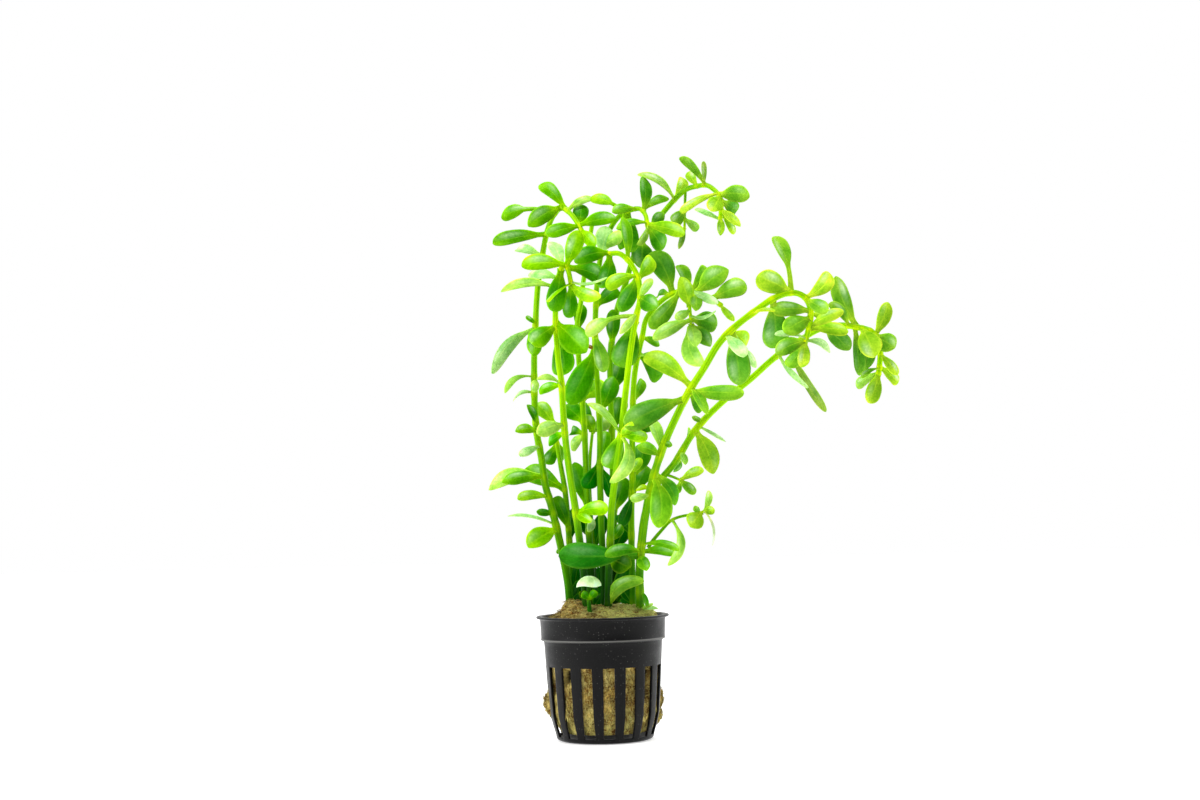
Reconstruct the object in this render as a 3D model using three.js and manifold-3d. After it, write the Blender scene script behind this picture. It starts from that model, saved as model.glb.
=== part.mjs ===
// A bunch of leafy aquarium stems planted in rock wool in a slotted net pot.
// Millimetres, +Z up, origin at the middle of the pot's flat base.
import * as THREE from 'three';
import { mergeVertices } from 'three/addons/utils/BufferGeometryUtils.js';
import Module from 'manifold-3d';

const wasm = await Module();
wasm.setup();

// Pot
const POT_HEIGHT = 48;
const POT_SIDES = 32;
const WALL = 1;
const FLOOR = 1.2;
const LIP_RADIUS = 26;
const LIP_THICKNESS = 1;
const BAND_TOP_RADIUS = 24.5;
const BAND_FOOT_RADIUS = 24.1;
const BAND_FOOT = 38.8;
const SKIRT_TOP_RADIUS = 23.2;
const SKIRT_FOOT_RADIUS = 21.4;
const SKIRT_FOOT = 10;
const BASE_RADIUS = 18.5;
const SLOTS = 16;
const SLOT_WIDTH = 4.4;
const SLOT_TOP = 28.8;
const SLOT_FOOT = 1.8;
const SLOT_INNER_RADIUS = 14;
const FIRST_SLOT_DEGREES = 5;

// Rock wool
const WOOL_SIDES = 16;
const WOOL_GAP = 0.4;
const WOOL_BOTTOM = 4.8;
const WOOL_BRIM = 45;
const TUFT_DEPTH = 5;

// Plant
const STEM_SIDES = 5;
const STEM_STEPS = 0.63;
const LEAF_THICKNESS = 0.7;
const LEAF_STALK = 0.28;
const LEAF_ROOT = 0.7;
const SMALL_LEAF = 20;
const LEAN_STEP = 1.7;
const GAP = 0.3;

// Edges shorter than this are closed up where solids have been cut.
const SHORT_EDGE = 0.01;

// The plant's places are given as they look from the front, from a point
// at EYE: x and height on the upright plane through the pot's axis, and
// the depth behind that plane. A place slides along the line of sight to
// its depth.
const EYE = new THREE.Vector3(0.9, -700, 85);

function place(x, height, depth) {
  const onPlane = new THREE.Vector3(x, 0, height);
  return onPlane.sub(EYE).multiplyScalar(1 - depth / EYE.y).add(EYE);
}

// Closed solids and joins

function solidOf(geometry) {
  const plain = geometry.index ? geometry.toNonIndexed() : geometry.clone();
  plain.deleteAttribute('normal');
  plain.deleteAttribute('uv');
  const merged = mergeVertices(plain, 1e-4);
  return new wasm.Manifold(new wasm.Mesh({
    numProp: 3,
    vertProperties: merged.attributes.position.array,
    triVerts: new Uint32Array(merged.index.array),
  }));
}

function geometryOf(solid) {
  const mesh = solid.simplify(SHORT_EDGE).getMesh();
  const geometry = new THREE.BufferGeometry();
  geometry.setAttribute('position', new THREE.BufferAttribute(mesh.vertProperties, 3));
  geometry.setIndex(new THREE.BufferAttribute(mesh.triVerts, 1));
  geometry.computeVertexNormals();
  return geometry;
}

// A skin over a row of rings. A ring of one point closes an end.
function loft(rings) {
  const points = rings.flat();
  const starts = [];
  let count = 0;
  for (const ring of rings) {
    starts.push(count);
    count += ring.length;
  }
  const index = [];
  for (let i = 0; i + 1 < rings.length; i += 1) {
    const sides = Math.max(rings[i].length, rings[i + 1].length);
    for (let j = 0; j < sides; j += 1) {
      const k = (j + 1) % sides;
      const [a, b] = rings[i].length > 1
        ? [starts[i] + j, starts[i] + k]
        : [starts[i], starts[i]];
      const [c, d] = rings[i + 1].length > 1
        ? [starts[i + 1] + j, starts[i + 1] + k]
        : [starts[i + 1], starts[i + 1]];
      if (a !== b) index.push(a, b, d);
      if (c !== d) index.push(a, d, c);
    }
  }
  const cap = (start, sides, flip) => {
    for (let j = 1; j + 1 < sides; j += 1) {
      index.push(start, start + j + (flip ? 1 : 0), start + j + (flip ? 0 : 1));
    }
  };
  cap(starts[0], rings[0].length, true);
  cap(starts[rings.length - 1], rings[rings.length - 1].length, false);
  let volume = 0;
  for (let i = 0; i < index.length; i += 3) {
    const [a, b, c] = [points[index[i]], points[index[i + 1]], points[index[i + 2]]];
    volume += a.dot(new THREE.Vector3().crossVectors(b, c));
  }
  if (volume < 0) index.reverse();
  const geometry = new THREE.BufferGeometry().setFromPoints(points);
  geometry.setIndex(index);
  return solidOf(geometry);
}

function join(solids) {
  return solids.reduce((whole, next) => whole.add(next));
}

function largest(solid) {
  const bodies = solid.decompose();
  return bodies.reduce((best, body) => (body.volume() > best.volume() ? body : best));
}

// Net pot

function slotCutter(number) {
  const slot = new THREE.BoxGeometry(SLOT_WIDTH, LIP_RADIUS, SLOT_TOP - SLOT_FOOT);
  slot.translate(0, -SLOT_INNER_RADIUS - LIP_RADIUS / 2, (SLOT_TOP + SLOT_FOOT) / 2);
  return solidOf(slot).rotate([0, 0, FIRST_SLOT_DEGREES + (number * 360) / SLOTS]);
}

function netPot() {
  const outside = [
    [0, 0], [BASE_RADIUS - 0.8, 0], [BASE_RADIUS + 0.4, 1],
    [SKIRT_FOOT_RADIUS, SKIRT_FOOT], [SKIRT_TOP_RADIUS, BAND_FOOT - 0.4],
    [BAND_FOOT_RADIUS, BAND_FOOT + 0.2], [BAND_TOP_RADIUS, POT_HEIGHT - LIP_THICKNESS],
    [LIP_RADIUS - 0.2, POT_HEIGHT - LIP_THICKNESS], [LIP_RADIUS, POT_HEIGHT - 0.5],
    [LIP_RADIUS - 0.4, POT_HEIGHT],
  ];
  const inside = [
    [BAND_TOP_RADIUS - WALL, POT_HEIGHT], [SKIRT_TOP_RADIUS - WALL, BAND_FOOT - 1.2],
    [SKIRT_FOOT_RADIUS - WALL, SKIRT_FOOT], [BASE_RADIUS - WALL, FLOOR], [0, FLOOR],
  ];
  const profile = [...outside, ...inside].map(([r, z]) => new THREE.Vector2(r, z));
  // The lathe turns about Y, so its axis is stood up on Z.
  const wall = new THREE.LatheGeometry(profile, POT_SIDES).rotateX(Math.PI / 2);
  wall.rotateZ(THREE.MathUtils.degToRad(FIRST_SLOT_DEGREES + 180 / POT_SIDES));
  const cutters = Array.from({ length: SLOTS }, (_, number) => slotCutter(number));
  return solidOf(wall).subtract(join(cutters));
}

// Rock wool: a plug with a lumpy top, [x, y, height, spread] for each lump,
// and tufts that push out through the slots, [slot, lowest, highest, radius].

const LUMPS = [
  [-12, -5, 4.2, 3.2], [-6, -11, 1.6, 5], [4, -8, 1.2, 6], [13, -2, 0.8, 6],
  [-9, 9, 1.5, 6], [8, 10, 1, 6],
];
const TUFTS = [
  [12, 9.5, 18.5, 24.6], [4, 4.6, 10, 24], [4, 11.5, 19, 24], [14, 8, 13, 22.2], [1, 6, 11, 22],
];

function woolPlug() {
  const side = [
    [17.4, WOOL_BOTTOM], [SKIRT_FOOT_RADIUS - WALL - WOOL_GAP, SKIRT_FOOT],
    [SKIRT_TOP_RADIUS - WALL - WOOL_GAP, BAND_FOOT - 1.6], [22.5, WOOL_BRIM],
    [20.2, 47.2], [17, 48.6], [12.5, 49.8],
  ];
  const point = (radius, height, turn) => {
    const x = radius * Math.cos(turn);
    const y = radius * Math.sin(turn);
    if (height <= WOOL_BRIM) return new THREE.Vector3(x, y, height);
    const raised = LUMPS.reduce((sum, [u, v, high, spread]) => (
      sum + high * Math.exp(-((x - u) ** 2 + (y - v) ** 2) / (2 * spread ** 2))), height);
    return new THREE.Vector3(x, y, raised);
  };
  const rings = side.map(([radius, height]) => Array.from({ length: WOOL_SIDES }, (_, i) => (
    point(radius, height, (i * 2 * Math.PI) / WOOL_SIDES))));
  const plug = loft([[new THREE.Vector3(0, 0, WOOL_BOTTOM)], ...rings, [point(0, 50, 0)]]);
  const tufts = TUFTS.map(([slot, low, high, radius]) => {
    const tuft = new THREE.SphereGeometry(1, 6, 4);
    tuft.scale(SLOT_WIDTH / 2 - 0.4, TUFT_DEPTH, (high - low) / 2);
    tuft.translate(0, TUFT_DEPTH - radius, (high + low) / 2);
    return solidOf(tuft).rotate([0, 0, FIRST_SLOT_DEGREES + (slot * 360) / SLOTS]);
  });
  return join([plug, ...tufts]);
}

// Stems: a tube along a route of [x, height, depth].

function routeCurve(route) {
  const points = route.map(([x, height, depth]) => new THREE.Vector3(x, depth, height));
  return new THREE.CatmullRomCurve3(points);
}

function stepsOf(route) {
  return Math.ceil((route.length - 1) * STEM_STEPS);
}

function stem(route, [foot, tip], grow = 0) {
  const steps = stepsOf(route);
  const curve = routeCurve(route);
  const at = (share) => {
    const p = curve.getPoint(Math.min(1, Math.max(0, share)));
    return place(p.x, p.z, p.y);
  };
  let side = new THREE.Vector3(1, 0, 0);
  const rings = [];
  for (let i = 0; i <= steps; i += 1) {
    const share = i / steps;
    const along = at(share + 0.01).sub(at(share - 0.01)).normalize();
    side = side.clone().addScaledVector(along, -side.dot(along)).normalize();
    const other = new THREE.Vector3().crossVectors(along, side);
    const radius = foot + (tip - foot) * share + grow;
    rings.push(Array.from({ length: STEM_SIDES }, (_, j) => {
      const turn = (j * 2 * Math.PI) / STEM_SIDES;
      return at(share)
        .addScaledVector(along, i === 0 ? -grow : 0)
        .addScaledVector(side, radius * Math.cos(turn))
        .addScaledVector(other, radius * Math.sin(turn));
    }));
  }
  return loft(rings);
}

// Leaves: [x, height, tip x, tip height, width, lean, turn, bow, stalk].
// The lean is how many steps the tip lies behind the base, or before it.
// The turn is 0 on a blade that faces the front and 90 on one seen from its
// edge. The bow carries the middle of the blade up where the leaf lies
// across, and to the right where it stands or hangs. The stalk is the narrow
// share of its length. A blade is flat above and keeled below.

// The point in the middle of a stem that looks nearest to a place, from the
// front. A stem runs straight from one of its rings to the next.
function nearestPoint(route, x, height) {
  const away = (p) => Math.hypot(p.x - x, p.z - height);
  const middles = routeCurve(route).getPoints(stepsOf(route));
  const points = middles.slice(1).flatMap((end, i) => (
    [0, 0.2, 0.4, 0.6, 0.8, 1].map((share) => middles[i].clone().lerp(end, share))));
  return points.reduce((best, p) => (away(p) < away(best) ? p : best));
}

function leaf(route, row, grow = 0) {
  const [x, height, tipX, tipHeight, width, lean, turn = 0, bow = 0, stalk = LEAF_STALK] = row;
  const base = nearestPoint(route, x, height);
  const start = place(base.x, base.z, base.y);
  const axis = place(tipX, tipHeight, base.y + lean * LEAN_STEP).sub(start);
  const length = axis.length();
  const along = axis.clone().normalize();
  const facing = EYE.clone().sub(start).normalize();
  facing.addScaledVector(along, -facing.dot(along)).normalize();
  const across = new THREE.Vector3().crossVectors(along, facing);
  const upright = Math.abs(axis.z) > Math.abs(axis.x);
  if ((upright ? across.x : across.z) < 0) across.negate();
  const angle = THREE.MathUtils.degToRad(turn);
  const up = facing.clone().multiplyScalar(Math.cos(angle)).addScaledVector(across, Math.sin(angle));
  const side = new THREE.Vector3().crossVectors(along, up);
  const shape = length < SMALL_LEAF
    ? [[0.6, 0.5], [1, 0.25]]
    : [[stalk, 0.16], [(1 + stalk) / 2 + 0.06, 0.5], [1, 0.24]];
  const middle = (share) => start.clone()
    .addScaledVector(axis, share)
    .addScaledVector(along, share * grow)
    .addScaledVector(across, bow * 4 * share * (1 - share))
    .addScaledVector(up, 0.05 * length * 4 * share * (1 - share));
  const rings = shape.map(([share, half]) => {
    const edge = (sign) => middle(share).addScaledVector(side, sign * (half * width + grow));
    const ridge = grow > 0 ? [middle(share).addScaledVector(up, 2 * grow)] : [];
    const keel = middle(share).addScaledVector(up, -LEAF_THICKNESS - 2 * grow);
    return [edge(-1), ...ridge, edge(1), keel];
  });
  const root = start.clone().addScaledVector(along, -LEAF_ROOT);
  return loft([[root], ...rings]);
}

// Shoots, from the left to the right

const SHOOTS = {
  left_tall_shoot: {
    colour: 0x6fae1f,
    radii: [1.6, 0.95],
    route: [
      [-12.5, 47, 2], [-13.2, 60, 3], [-14.8, 70, 4], [-16.8, 80, 5], [-19, 90, 6],
      [-21.5, 100, 7], [-22.7, 110, 8], [-24.2, 119, 9], [-24.9, 130, 10], [-24.9, 140, 11],
      [-24.7, 150, 12], [-24, 162, 13], [-22.7, 178, 14], [-20.3, 192, 14], [-18.5, 200, 13],
      [-16, 206, 12], [-12.7, 209, 10], [-9, 206.5, 7], [-5.5, 201, 4], [-3.5, 196, 2],
    ],
    leaves: [
      [-18, 82, -28.8, 75, 8.5, -5, 20, 0.5], [-18, 83, -36.5, 87.5, 2.6, 3, 60],
      [-19, 88, -25, 88.8, 3, -2], [-20.5, 94.5, -32.5, 94, 5, -4, 35, 0.5],
      [-22, 101.5, -44, 98, 6.5, 3, 15, 2.8], [-22, 101.5, -38.5, 100.7, 7, -4, 40, 0.6],
      [-23.5, 115, -31, 111, 4.5, -8, 45], [-24.5, 120, -32.8, 120.7, 4.5, -6, 30, 0.5],
      [-24.6, 124, -28, 131, 4, -6, 40], [-24.9, 135, -24.5, 140.5, 3.5, -4],
      [-25, 135, -33.5, 132.5, 3, 3, 60, 1.5], [-25, 141.5, -36.8, 136.3, 4.5, -3, 60, 2.2],
      [-25, 161.5, -41.3, 143.5, 6, -3, 25, -4], [-24.5, 161, -25, 151, 6.5, -9, 15],
      [-24, 162.5, -27.5, 166, 2, -3], [-18.5, 198.5, -40.3, 195.7, 7, -3, 30, 0.3],
      [-20.5, 189.5, -31, 193, 5, 8, 30], [-15.5, 207, -36.8, 206, 6.5, 2, 15, 2.2, 0.55],
      [-13, 209, -26, 202, 7.5, -5, 15, 1], [-10.5, 208.5, -20.5, 219.5, 6.5, 3, 30],
      [-9.5, 208.5, 0.5, 213, 4.5, 4, 35, 0.8], [-5, 201.5, -19, 198.4, 6.5, -4, 30, 0],
      [-4.5, 202, 9, 204.5, 6, -3, 25, 0.5], [-4, 200, 0.5, 193.5, 5, -6],
      [-5, 202, -4.6, 210.5, 6.5, 5],
    ],
  },
  left_back_shoot: {
    colour: 0x4f9a1c,
    radii: [1.4, 0.85],
    route: [
      [-10.5, 47, 8], [-11.6, 62, 10], [-12.3, 75, 12], [-12.8, 86, 14], [-13.8, 98, 16],
      [-15.2, 107, 17], [-16.5, 116, 18], [-17.5, 124, 18],
    ],
    leaves: [
      [-14, 96.5, -29.5, 106, 9, 4, 15], [-12.2, 73, -17.5, 73, 2.5, -3],
      [-16.5, 116, -21, 107, 5.5, 5, 10], [-16.5, 115.5, -14, 108.5, 4, 6, 30],
      [-17.5, 123, -24.5, 131.5, 6.5, 3, 10, 0.5], [-12.5, 82, -17.6, 94.5, 6, -3, 20],
      [-12.4, 77, -10.2, 90, 5, 3, 20], [-11.4, 57, -9, 68.5, 4.5, -2, 10],
    ],
  },
  front_left_shoot: {
    colour: 0x8cc31f,
    radii: [1.5, 0.95],
    route: [
      [-6, 47, -9], [-7, 64, -11], [-8.2, 76, -12], [-9.8, 90, -13.5], [-11.2, 100, -14.5],
      [-12.4, 110, -15.5], [-13.3, 120, -16.5], [-13.8, 130, -17], [-14.2, 140, -17.5],
      [-15.1, 147, -18], [-15.6, 155, -18], [-16, 165, -18], [-15.5, 175, -17.5],
      [-14, 183, -17], [-12, 186.5, -16.5], [-10.6, 184, -16.5], [-9.5, 178.5, -16.5],
    ],
    leaves: [
      [-6.4, 54.5, -9, 56.8, 3, -3], [-9.4, 86.8, -3.8, 84.5, 4, -4, 20],
      [-9.6, 88, 3, 89.5, 6, -4, 15, 0.8], [-13.5, 122, -24, 119.5, 6.5, -5, 30, 0.5],
      [-13.3, 119, -20, 115.5, 5, 5, 30], [-14.5, 138.5, -23.5, 136.5, 5, 4, 30],
      [-15, 137, -24, 141, 3.5, -6, 60, 1.5], [-15.5, 161.5, -25.5, 155, 8.5, -4, 20, 0.6],
      [-15.5, 160, -13.2, 142, 9.5, 5, 14, 0.8], [-15.5, 164, -4.3, 151, 11, -3, 10, 0.3],
      [-15.8, 177.5, -37.3, 176.8, 5.5, -4, 50, 0.6], [-14.5, 181, -26.5, 183.5, 5.5, 6, 35],
      [-12, 185.5, -29, 186.4, 7.5, -5, 30, 0.8], [-11.5, 185.5, -6, 200, 7, -3, 15],
      [-12.5, 186, -17, 196, 6, 5, 20], [-13, 184.5, -16.5, 168, 8, -4, 10],
      [-10.8, 185, 3, 180, 8, 5, 20, 1], [-9.5, 178.5, -19, 172, 5, -5, 65],
      [-9.5, 178.5, -10.3, 165, 6.5, 4, 25, -0.5], [-9.3, 178.5, 1.5, 173, 6, -6, 25, -1.5],
      [-9.3, 179, 5, 181, 2.5, -4, 70, -3],
    ],
  },
  middle_shoot: {
    colour: 0x579f1d,
    radii: [1.4, 0.9],
    route: [
      [-3, 47, 6], [-3.8, 62, 7], [-4.5, 76, 8], [-4.9, 90, 9], [-5.2, 105, 10], [-5.5, 120, 10],
      [-6.2, 135, 10], [-7.2, 150, 10], [-7.4, 163, 10], [-6, 170, 11], [-4.5, 180, 12],
      [-2.5, 192, 13], [-0.5, 203, 14],
    ],
    leaves: [
      [-5.5, 120, -11, 113, 5, 5, 30], [-5.5, 119, -11, 120, 4.5, 7, 20],
      [-6, 132, 4.5, 138, 8, 4, 15, 0.5], [-5.6, 124, -13, 130.5, 8, 4, 15],
      [-5, 90, -9.8, 108, 7, 4, 15], [-7.2, 160, -5.8, 171, 5.5, 3, 10], [-3.2, 51, -6.8, 63, 5.5, 2, 10],
    ],
  },
  thin_middle_shoot: {
    colour: 0x6aa825,
    radii: [0.9, 0.6],
    route: [[-2.5, 47, 12], [-3.2, 75, 15], [-4, 100, 18], [-3.5, 110, 19], [-2.3, 120, 20]],
    leaves: [
      [-2.3, 120, -8, 131, 7, 4, 10], [-2.3, 120.5, 4.5, 124.5, 6.5, -3, 15],
      [-2.5, 119.5, -5, 126.5, 5, -4, 20], [-3.1, 76, -8.6, 89.5, 7, 4, 10],
      [-3, 74, 1.3, 87.5, 6, 3, 10], [-2.8, 55, -1, 66.5, 4.5, 2, 10],
    ],
  },
  centre_shoot: {
    colour: 0x63a81c,
    radii: [1.35, 0.9],
    route: [
      [0.8, 47, -1], [0.6, 65, -1], [0.4, 80, -1], [0.2, 95, -1], [0.3, 107, -1], [0.6, 120, -1],
      [0.2, 135, -1], [-0.6, 152, -1], [0, 168, 1], [1, 180, 4], [4, 195, 7], [10, 205, 8],
      [16, 207.9, 6], [18.8, 207.8, 4], [20.6, 205.5, 2], [21.4, 200.7, 0],
    ],
    leaves: [
      [-0.8, 153, -11, 131, 10, -4, 10], [-0.3, 158, 2.8, 143.5, 6, -4, 10],
      [16.5, 208, 7.5, 207, 5, -5, 40, 0.5], [12, 206.5, -1, 213, 5.5, 3, 25, 0.8, 0.4],
      [20, 207, 20.3, 221, 6, 3, 30, 0.3], [19.5, 207.3, 29.5, 212.5, 5, 6, 40],
      [21.4, 201.5, 36, 197.3, 6, -4, 20, 0.3], [21, 202, 9, 200.5, 4.5, -4, 45, 0.5],
      [21.4, 201, 27.5, 191.5, 7.5, 4, 20], [21.4, 201, 17, 193.5, 3.5, -6, 45],
      [2.8, 190, 5.5, 201, 8, -4], [4, 193.5, 11, 198, 5.5, -7, 20],
      [0.3, 107, -5.8, 97.5, 7, 4, 15], [0.3, 106.5, 4.4, 94, 5.5, 5, 25],
      [12.5, 206, 10.5, 192, 6, -3, 20], [0.7, 170, 9, 176.5, 6.5, 3, 15],
      [0.4, 108, 3.4, 120, 4.5, 4, 20], [14, 207, 15.3, 190.5, 5.5, 3, 20],
      [0.4, 128, 7, 141.5, 7, 5, 10],
    ],
  },
  front_centre_shoot: {
    colour: 0x93c624,
    radii: [1.5, 1],
    route: [
      [2.2, 47, -8], [2.6, 62, -10], [3.6, 76, -12], [4.6, 90, -14], [6.3, 102, -15],
      [7.6, 110, -16], [9.2, 120, -17], [10.4, 130, -17.5], [11.5, 138, -18], [12.7, 147, -18],
      [14, 155, -18], [16, 165, -17], [17.8, 173, -16], [16.8, 181, -14], [14, 186.5, -13],
      [10, 190.2, -12], [5, 190.3, -11],
    ],
    leaves: [
      [2.4, 52.5, 16, 60.3, 8, -4, 15, 3, 0.08],
      [3, 69, 11, 66, 8, -4, 10], [3.6, 76, 8.5, 83, 4, 4, 20],
      [8.8, 119, 3.5, 105, 8.5, 4, 10], [8.7, 118.5, -4, 131, 5.5, -3, 60, 0.5],
      [9.2, 118.5, 4.6, 99.5, 5.5, -6, 10, 4.6], [9.3, 117.5, 19, 116.8, 5.5, -4, 35, 0.3],
      [9.3, 118, 13.5, 123, 4, -5, 30], [15.3, 163, 9, 145, 10.5, 3, 10],
      [15.8, 166, 9.5, 158.5, 3.2, -5], [16, 165.5, -4, 158.5, 6.5, -4, 25, 2, 0.55],
      [17.8, 172, 22.5, 180, 4, -3, 30, -0.5], [17.8, 172.5, 24, 168.5, 7, -7],
      [16.8, 181.5, 4.5, 176.5, 6, -4, 30, 1], [16.8, 181, 9.5, 167, 7, 3, 20],
      [17, 180, 23.5, 188, 7, 3, 25, -0.5], [13, 187.5, 12, 205, 5.5, 3, 30],
      [6, 190.4, -8, 187.5, 7.5, -4, 25, 1], [5.5, 190.4, 2.5, 176.5, 7.5, 2, 15, 1],
    ],
  },
  right_middle_shoot: {
    colour: 0x74b01e,
    radii: [1.3, 0.95],
    route: [
      [12, 47, 4], [12, 62, 5], [12, 76, 6], [12.3, 90, 6.5], [13, 102, 7], [13.3, 118, 7.5],
      [13.8, 130, 8], [14.8, 142, 8.5], [16.4, 150, 9], [18.2, 157, 9], [20, 164, 9],
      [25, 170, 8], [31, 174, 6], [37, 174.9, 4], [42, 173, 2], [46, 171.3, 1], [50, 168.5, 0],
    ],
    leaves: [
      [13.3, 102.5, 16.4, 108.8, 3.5, -3], [16.2, 149, 24, 149.5, 5, -3, 70, 0.5],
      [16.3, 149.5, 24.3, 139.5, 7.5, 3, 20, 1], [29.5, 173.3, 24.5, 172.5, 4, 6, 50, 0.5],
      [30.5, 174, 23, 191, 10, 2, 15, 1], [33, 174.5, 21, 160.5, 7, -4, 20, 0.5],
      [37, 175, 33.5, 185.5, 6, 3, 30], [38, 175, 44.5, 184, 6.5, 3, 25],
      [40, 174, 53, 183, 9, -3, 20, 0.5], [40, 173.5, 39.5, 167, 5, -5],
      [46, 171.3, 60, 176.5, 8, -3, 20, 0.5], [49, 169, 54.8, 162.5, 3.5, -3, 40, -0.5],
      [12.3, 94, 8, 82.5, 5, -4, 20], [12, 78, 6.5, 87, 4.5, 3, 20],
      [13, 101, 18.6, 114.5, 8, 4, 10], [13.4, 119.5, 21, 122, 6, 3, 20],
      [18.2, 157, 25, 153.5, 4, 3, 30], [13.9, 131, 18.2, 140, 4.5, 3, 20],
      [12.6, 95, 19, 106, 7, 3, 10], [12, 52, 9.5, 63.5, 6, 3, 10],
      [38, 174, 48.5, 169.5, 4, -5, 30, -0.5],
    ],
  },
  hanging_side_shoot: {
    colour: 0x86bb25,
    radii: [0.8, 0.55],
    route: [[36.6, 173.4, 4], [37, 170, 3], [37.3, 166.5, 2], [37.5, 164, 1.5], [37.5, 160.5, 1.5]],
    leaves: [
      [36.8, 169, 34, 180.5, 6.5, -6, 10], [37.2, 167, 31.5, 163.5, 4, -4, 20],
      [37.5, 163, 22.5, 155.8, 6.5, -4, 30, 0.3], [37.3, 165, 47.5, 166.5, 3.5, -3, 60, -2.5],
      [37.5, 163.5, 48, 160.8, 8.5, 2, 15, 0.5], [37.5, 161, 45, 152.3, 6.5, -4, 20],
      [37.5, 161, 39, 152.5, 6, -5, 20], [37.4, 161.2, 41.3, 144.5, 7.5, 4, 15, -3.2],
    ],
  },
  back_shoot: {
    colour: 0x559d1f,
    radii: [1.35, 0.9],
    route: [
      [5, 47, 13], [5.2, 80, 17], [5.3, 110, 20], [5.2, 135, 22], [5.4, 150, 23], [7, 160, 23],
      [8.5, 168, 23], [12, 178, 22], [16, 190, 21], [22, 200, 19], [27, 205.5, 17], [32, 211, 15],
      [37, 215.3, 12], [41, 216.5, 10], [45, 216.9, 8], [47.9, 215.2, 6], [50.4, 212, 4],
      [50.8, 208, 3], [50.3, 203, 2],
    ],
    twigs: [[[36.8, 215.5, 12], [36.3, 207, 13], [36, 199, 13]]],
    leaves: [
      [19.5, 196, 18.5, 184.5, 9, -6, 10], [44.5, 217.8, 35, 228.5, 4.5, -2, 40],
      [44, 217.8, 44.3, 226.5, 2.5, -3, 30], [41, 217.3, 37.8, 222.5, 4, 3],
      [32.3, 211, 18, 222, 5.5, -3, 50, 1.3], [32, 211, 36.8, 220, 5.5, 4, 20],
      [50.3, 213, 62.3, 212, 7.2, -3, 10, 0.8], [51, 210.5, 57, 206, 6, 4, 15],
      [50.5, 212.5, 47, 206.5, 7, -5], [50, 213.5, 34.5, 206.7, 4.5, -4, 40, 0.3],
      [50.3, 203, 40.5, 208, 4, 4, 50, -1], [50.4, 204, 50.2, 196.6, 3.2, -2, 10],
      [50.8, 207, 58.3, 200, 3.6, -3, 15], [50.7, 206.5, 55.8, 197, 3.2, 2, 15],
      [36.2, 207, 31.5, 202, 5.5, -2, 10], [36.2, 203, 41.5, 199, 4, 0, 20],
      [36, 200, 33.5, 191.5, 2.5, 0, 20], [5.3, 120, 9.6, 133, 6.5, 3, 10],
      [5.2, 134, 9.8, 147.5, 7, 3, 10], [5.2, 87, 9.8, 101.5, 8, -3, 10],
      [5.2, 74, 10, 83.5, 7, -3, 10], [5.1, 54, 10.5, 66, 8, -3, 10], [22.5, 200.5, 28, 206, 5, -3, 20],
      [6, 155, 7, 168, 6, -4, 10],
    ],
  },
  right_upper_shoot: {
    colour: 0x7ab41f,
    radii: [1.65, 1.1],
    route: [
      [14.8, 47, -5], [14.8, 62, -7], [15.3, 70, -8], [16.5, 79, -9], [17.8, 87, -10],
      [19.5, 95, -11], [22, 104, -12], [26.1, 115, -13.5], [30.6, 124.5, -15], [35.8, 134.3, -16],
      [42.1, 143.7, -17], [48.7, 153.9, -18], [55.3, 160.3, -18], [63.1, 166.1, -18], [70.2, 170.8, -18],
      [75.5, 172.8, -17], [80, 172.8, -16], [83.5, 170.5, -15], [85, 166, -14], [84.4, 160, -13],
      [82.5, 153.5, -12],
    ],
    leaves: [
      [15.5, 71.5, 2, 71.5, 5, -11, 25, 0.8], [16, 70.5, 17.5, 65, 5, -7],
      [15.5, 71.5, 29.7, 71, 6, 3, 45], [16.3, 75.5, 30.7, 72.6, 5, -4, 55, 0.6],
      [19.3, 94, 12.5, 92.5, 4.5, -5, 45], [20, 97.5, 14, 96.5, 3, 4, 40],
      [21.5, 102, 22.7, 81.3, 9, -6, 10, 1.8], [21.8, 103, 30, 90, 5.5, 5, 20, 1.5],
      [24, 110, 15.5, 113.5, 5, -4, 25, 0.5], [24.3, 111, 20.8, 124.5, 5, 3, 25],
      [25.8, 114, 28.8, 113.5, 2.5, -3], [33.5, 131.5, 10.5, 121.7, 10, -5, 10, 0.8],
      [36.5, 136, 18.8, 149.5, 8.5, 3, 20, 0.9], [36.5, 135.5, 57.8, 133.8, 7, -4, 25, -0.8],
      [35.5, 135.5, 41.3, 127.5, 7, 4, 20], [36.5, 136, 43, 125.5, 4.5, -5, 30],
      [53, 158.5, 56.5, 136.7, 9.5, 3, 10], [51.5, 156.5, 58.7, 148.5, 6, -6, 30],
      [52, 158.5, 58.8, 151.5, 8.5, 5, 20, 1.3], [54, 159, 63.8, 143.8, 4.5, 6, 40, -1, 0.5],
      [62, 165.3, 71, 166, 3, -4, 60], [69.5, 170.5, 70.3, 151, 10.5, 3, 10, 0.5],
      [77, 173.8, 64, 179.8, 9, -2, 10, 0.5], [77.5, 173.5, 72, 196, 6.6, 3, 20, 1.2, 0.45],
      [84.9, 165.5, 70, 166.4, 6.5, -3, 20, 0.5], [84.7, 162.5, 74.5, 157.5, 8, -5, 15, 0.5],
      [82.9, 155, 70.5, 156.5, 4, -7, 60, 0.8], [84.5, 170, 91.5, 165, 6, -5, 20],
      [83, 171, 93.3, 180.5, 7, 2, 20, -2], [84.4, 159, 98, 165.5, 6, -3, 35, 0.5],
      [84.4, 158.5, 100, 157.5, 6, 3, 30], [85, 165, 92, 162, 4, 4, 20],
      [82.6, 153.8, 71, 149, 7, -3, 20, 0.5], [82.6, 153.8, 75.5, 143.5, 6, 3, 20],
      [82.5, 153.5, 81, 143.5, 5, -4, 10], [82.5, 153.5, 92.3, 149, 4, -2, 40, 1.6],
      [14.8, 56, 17.6, 51, 2, -3, 20, 0.6],
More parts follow.
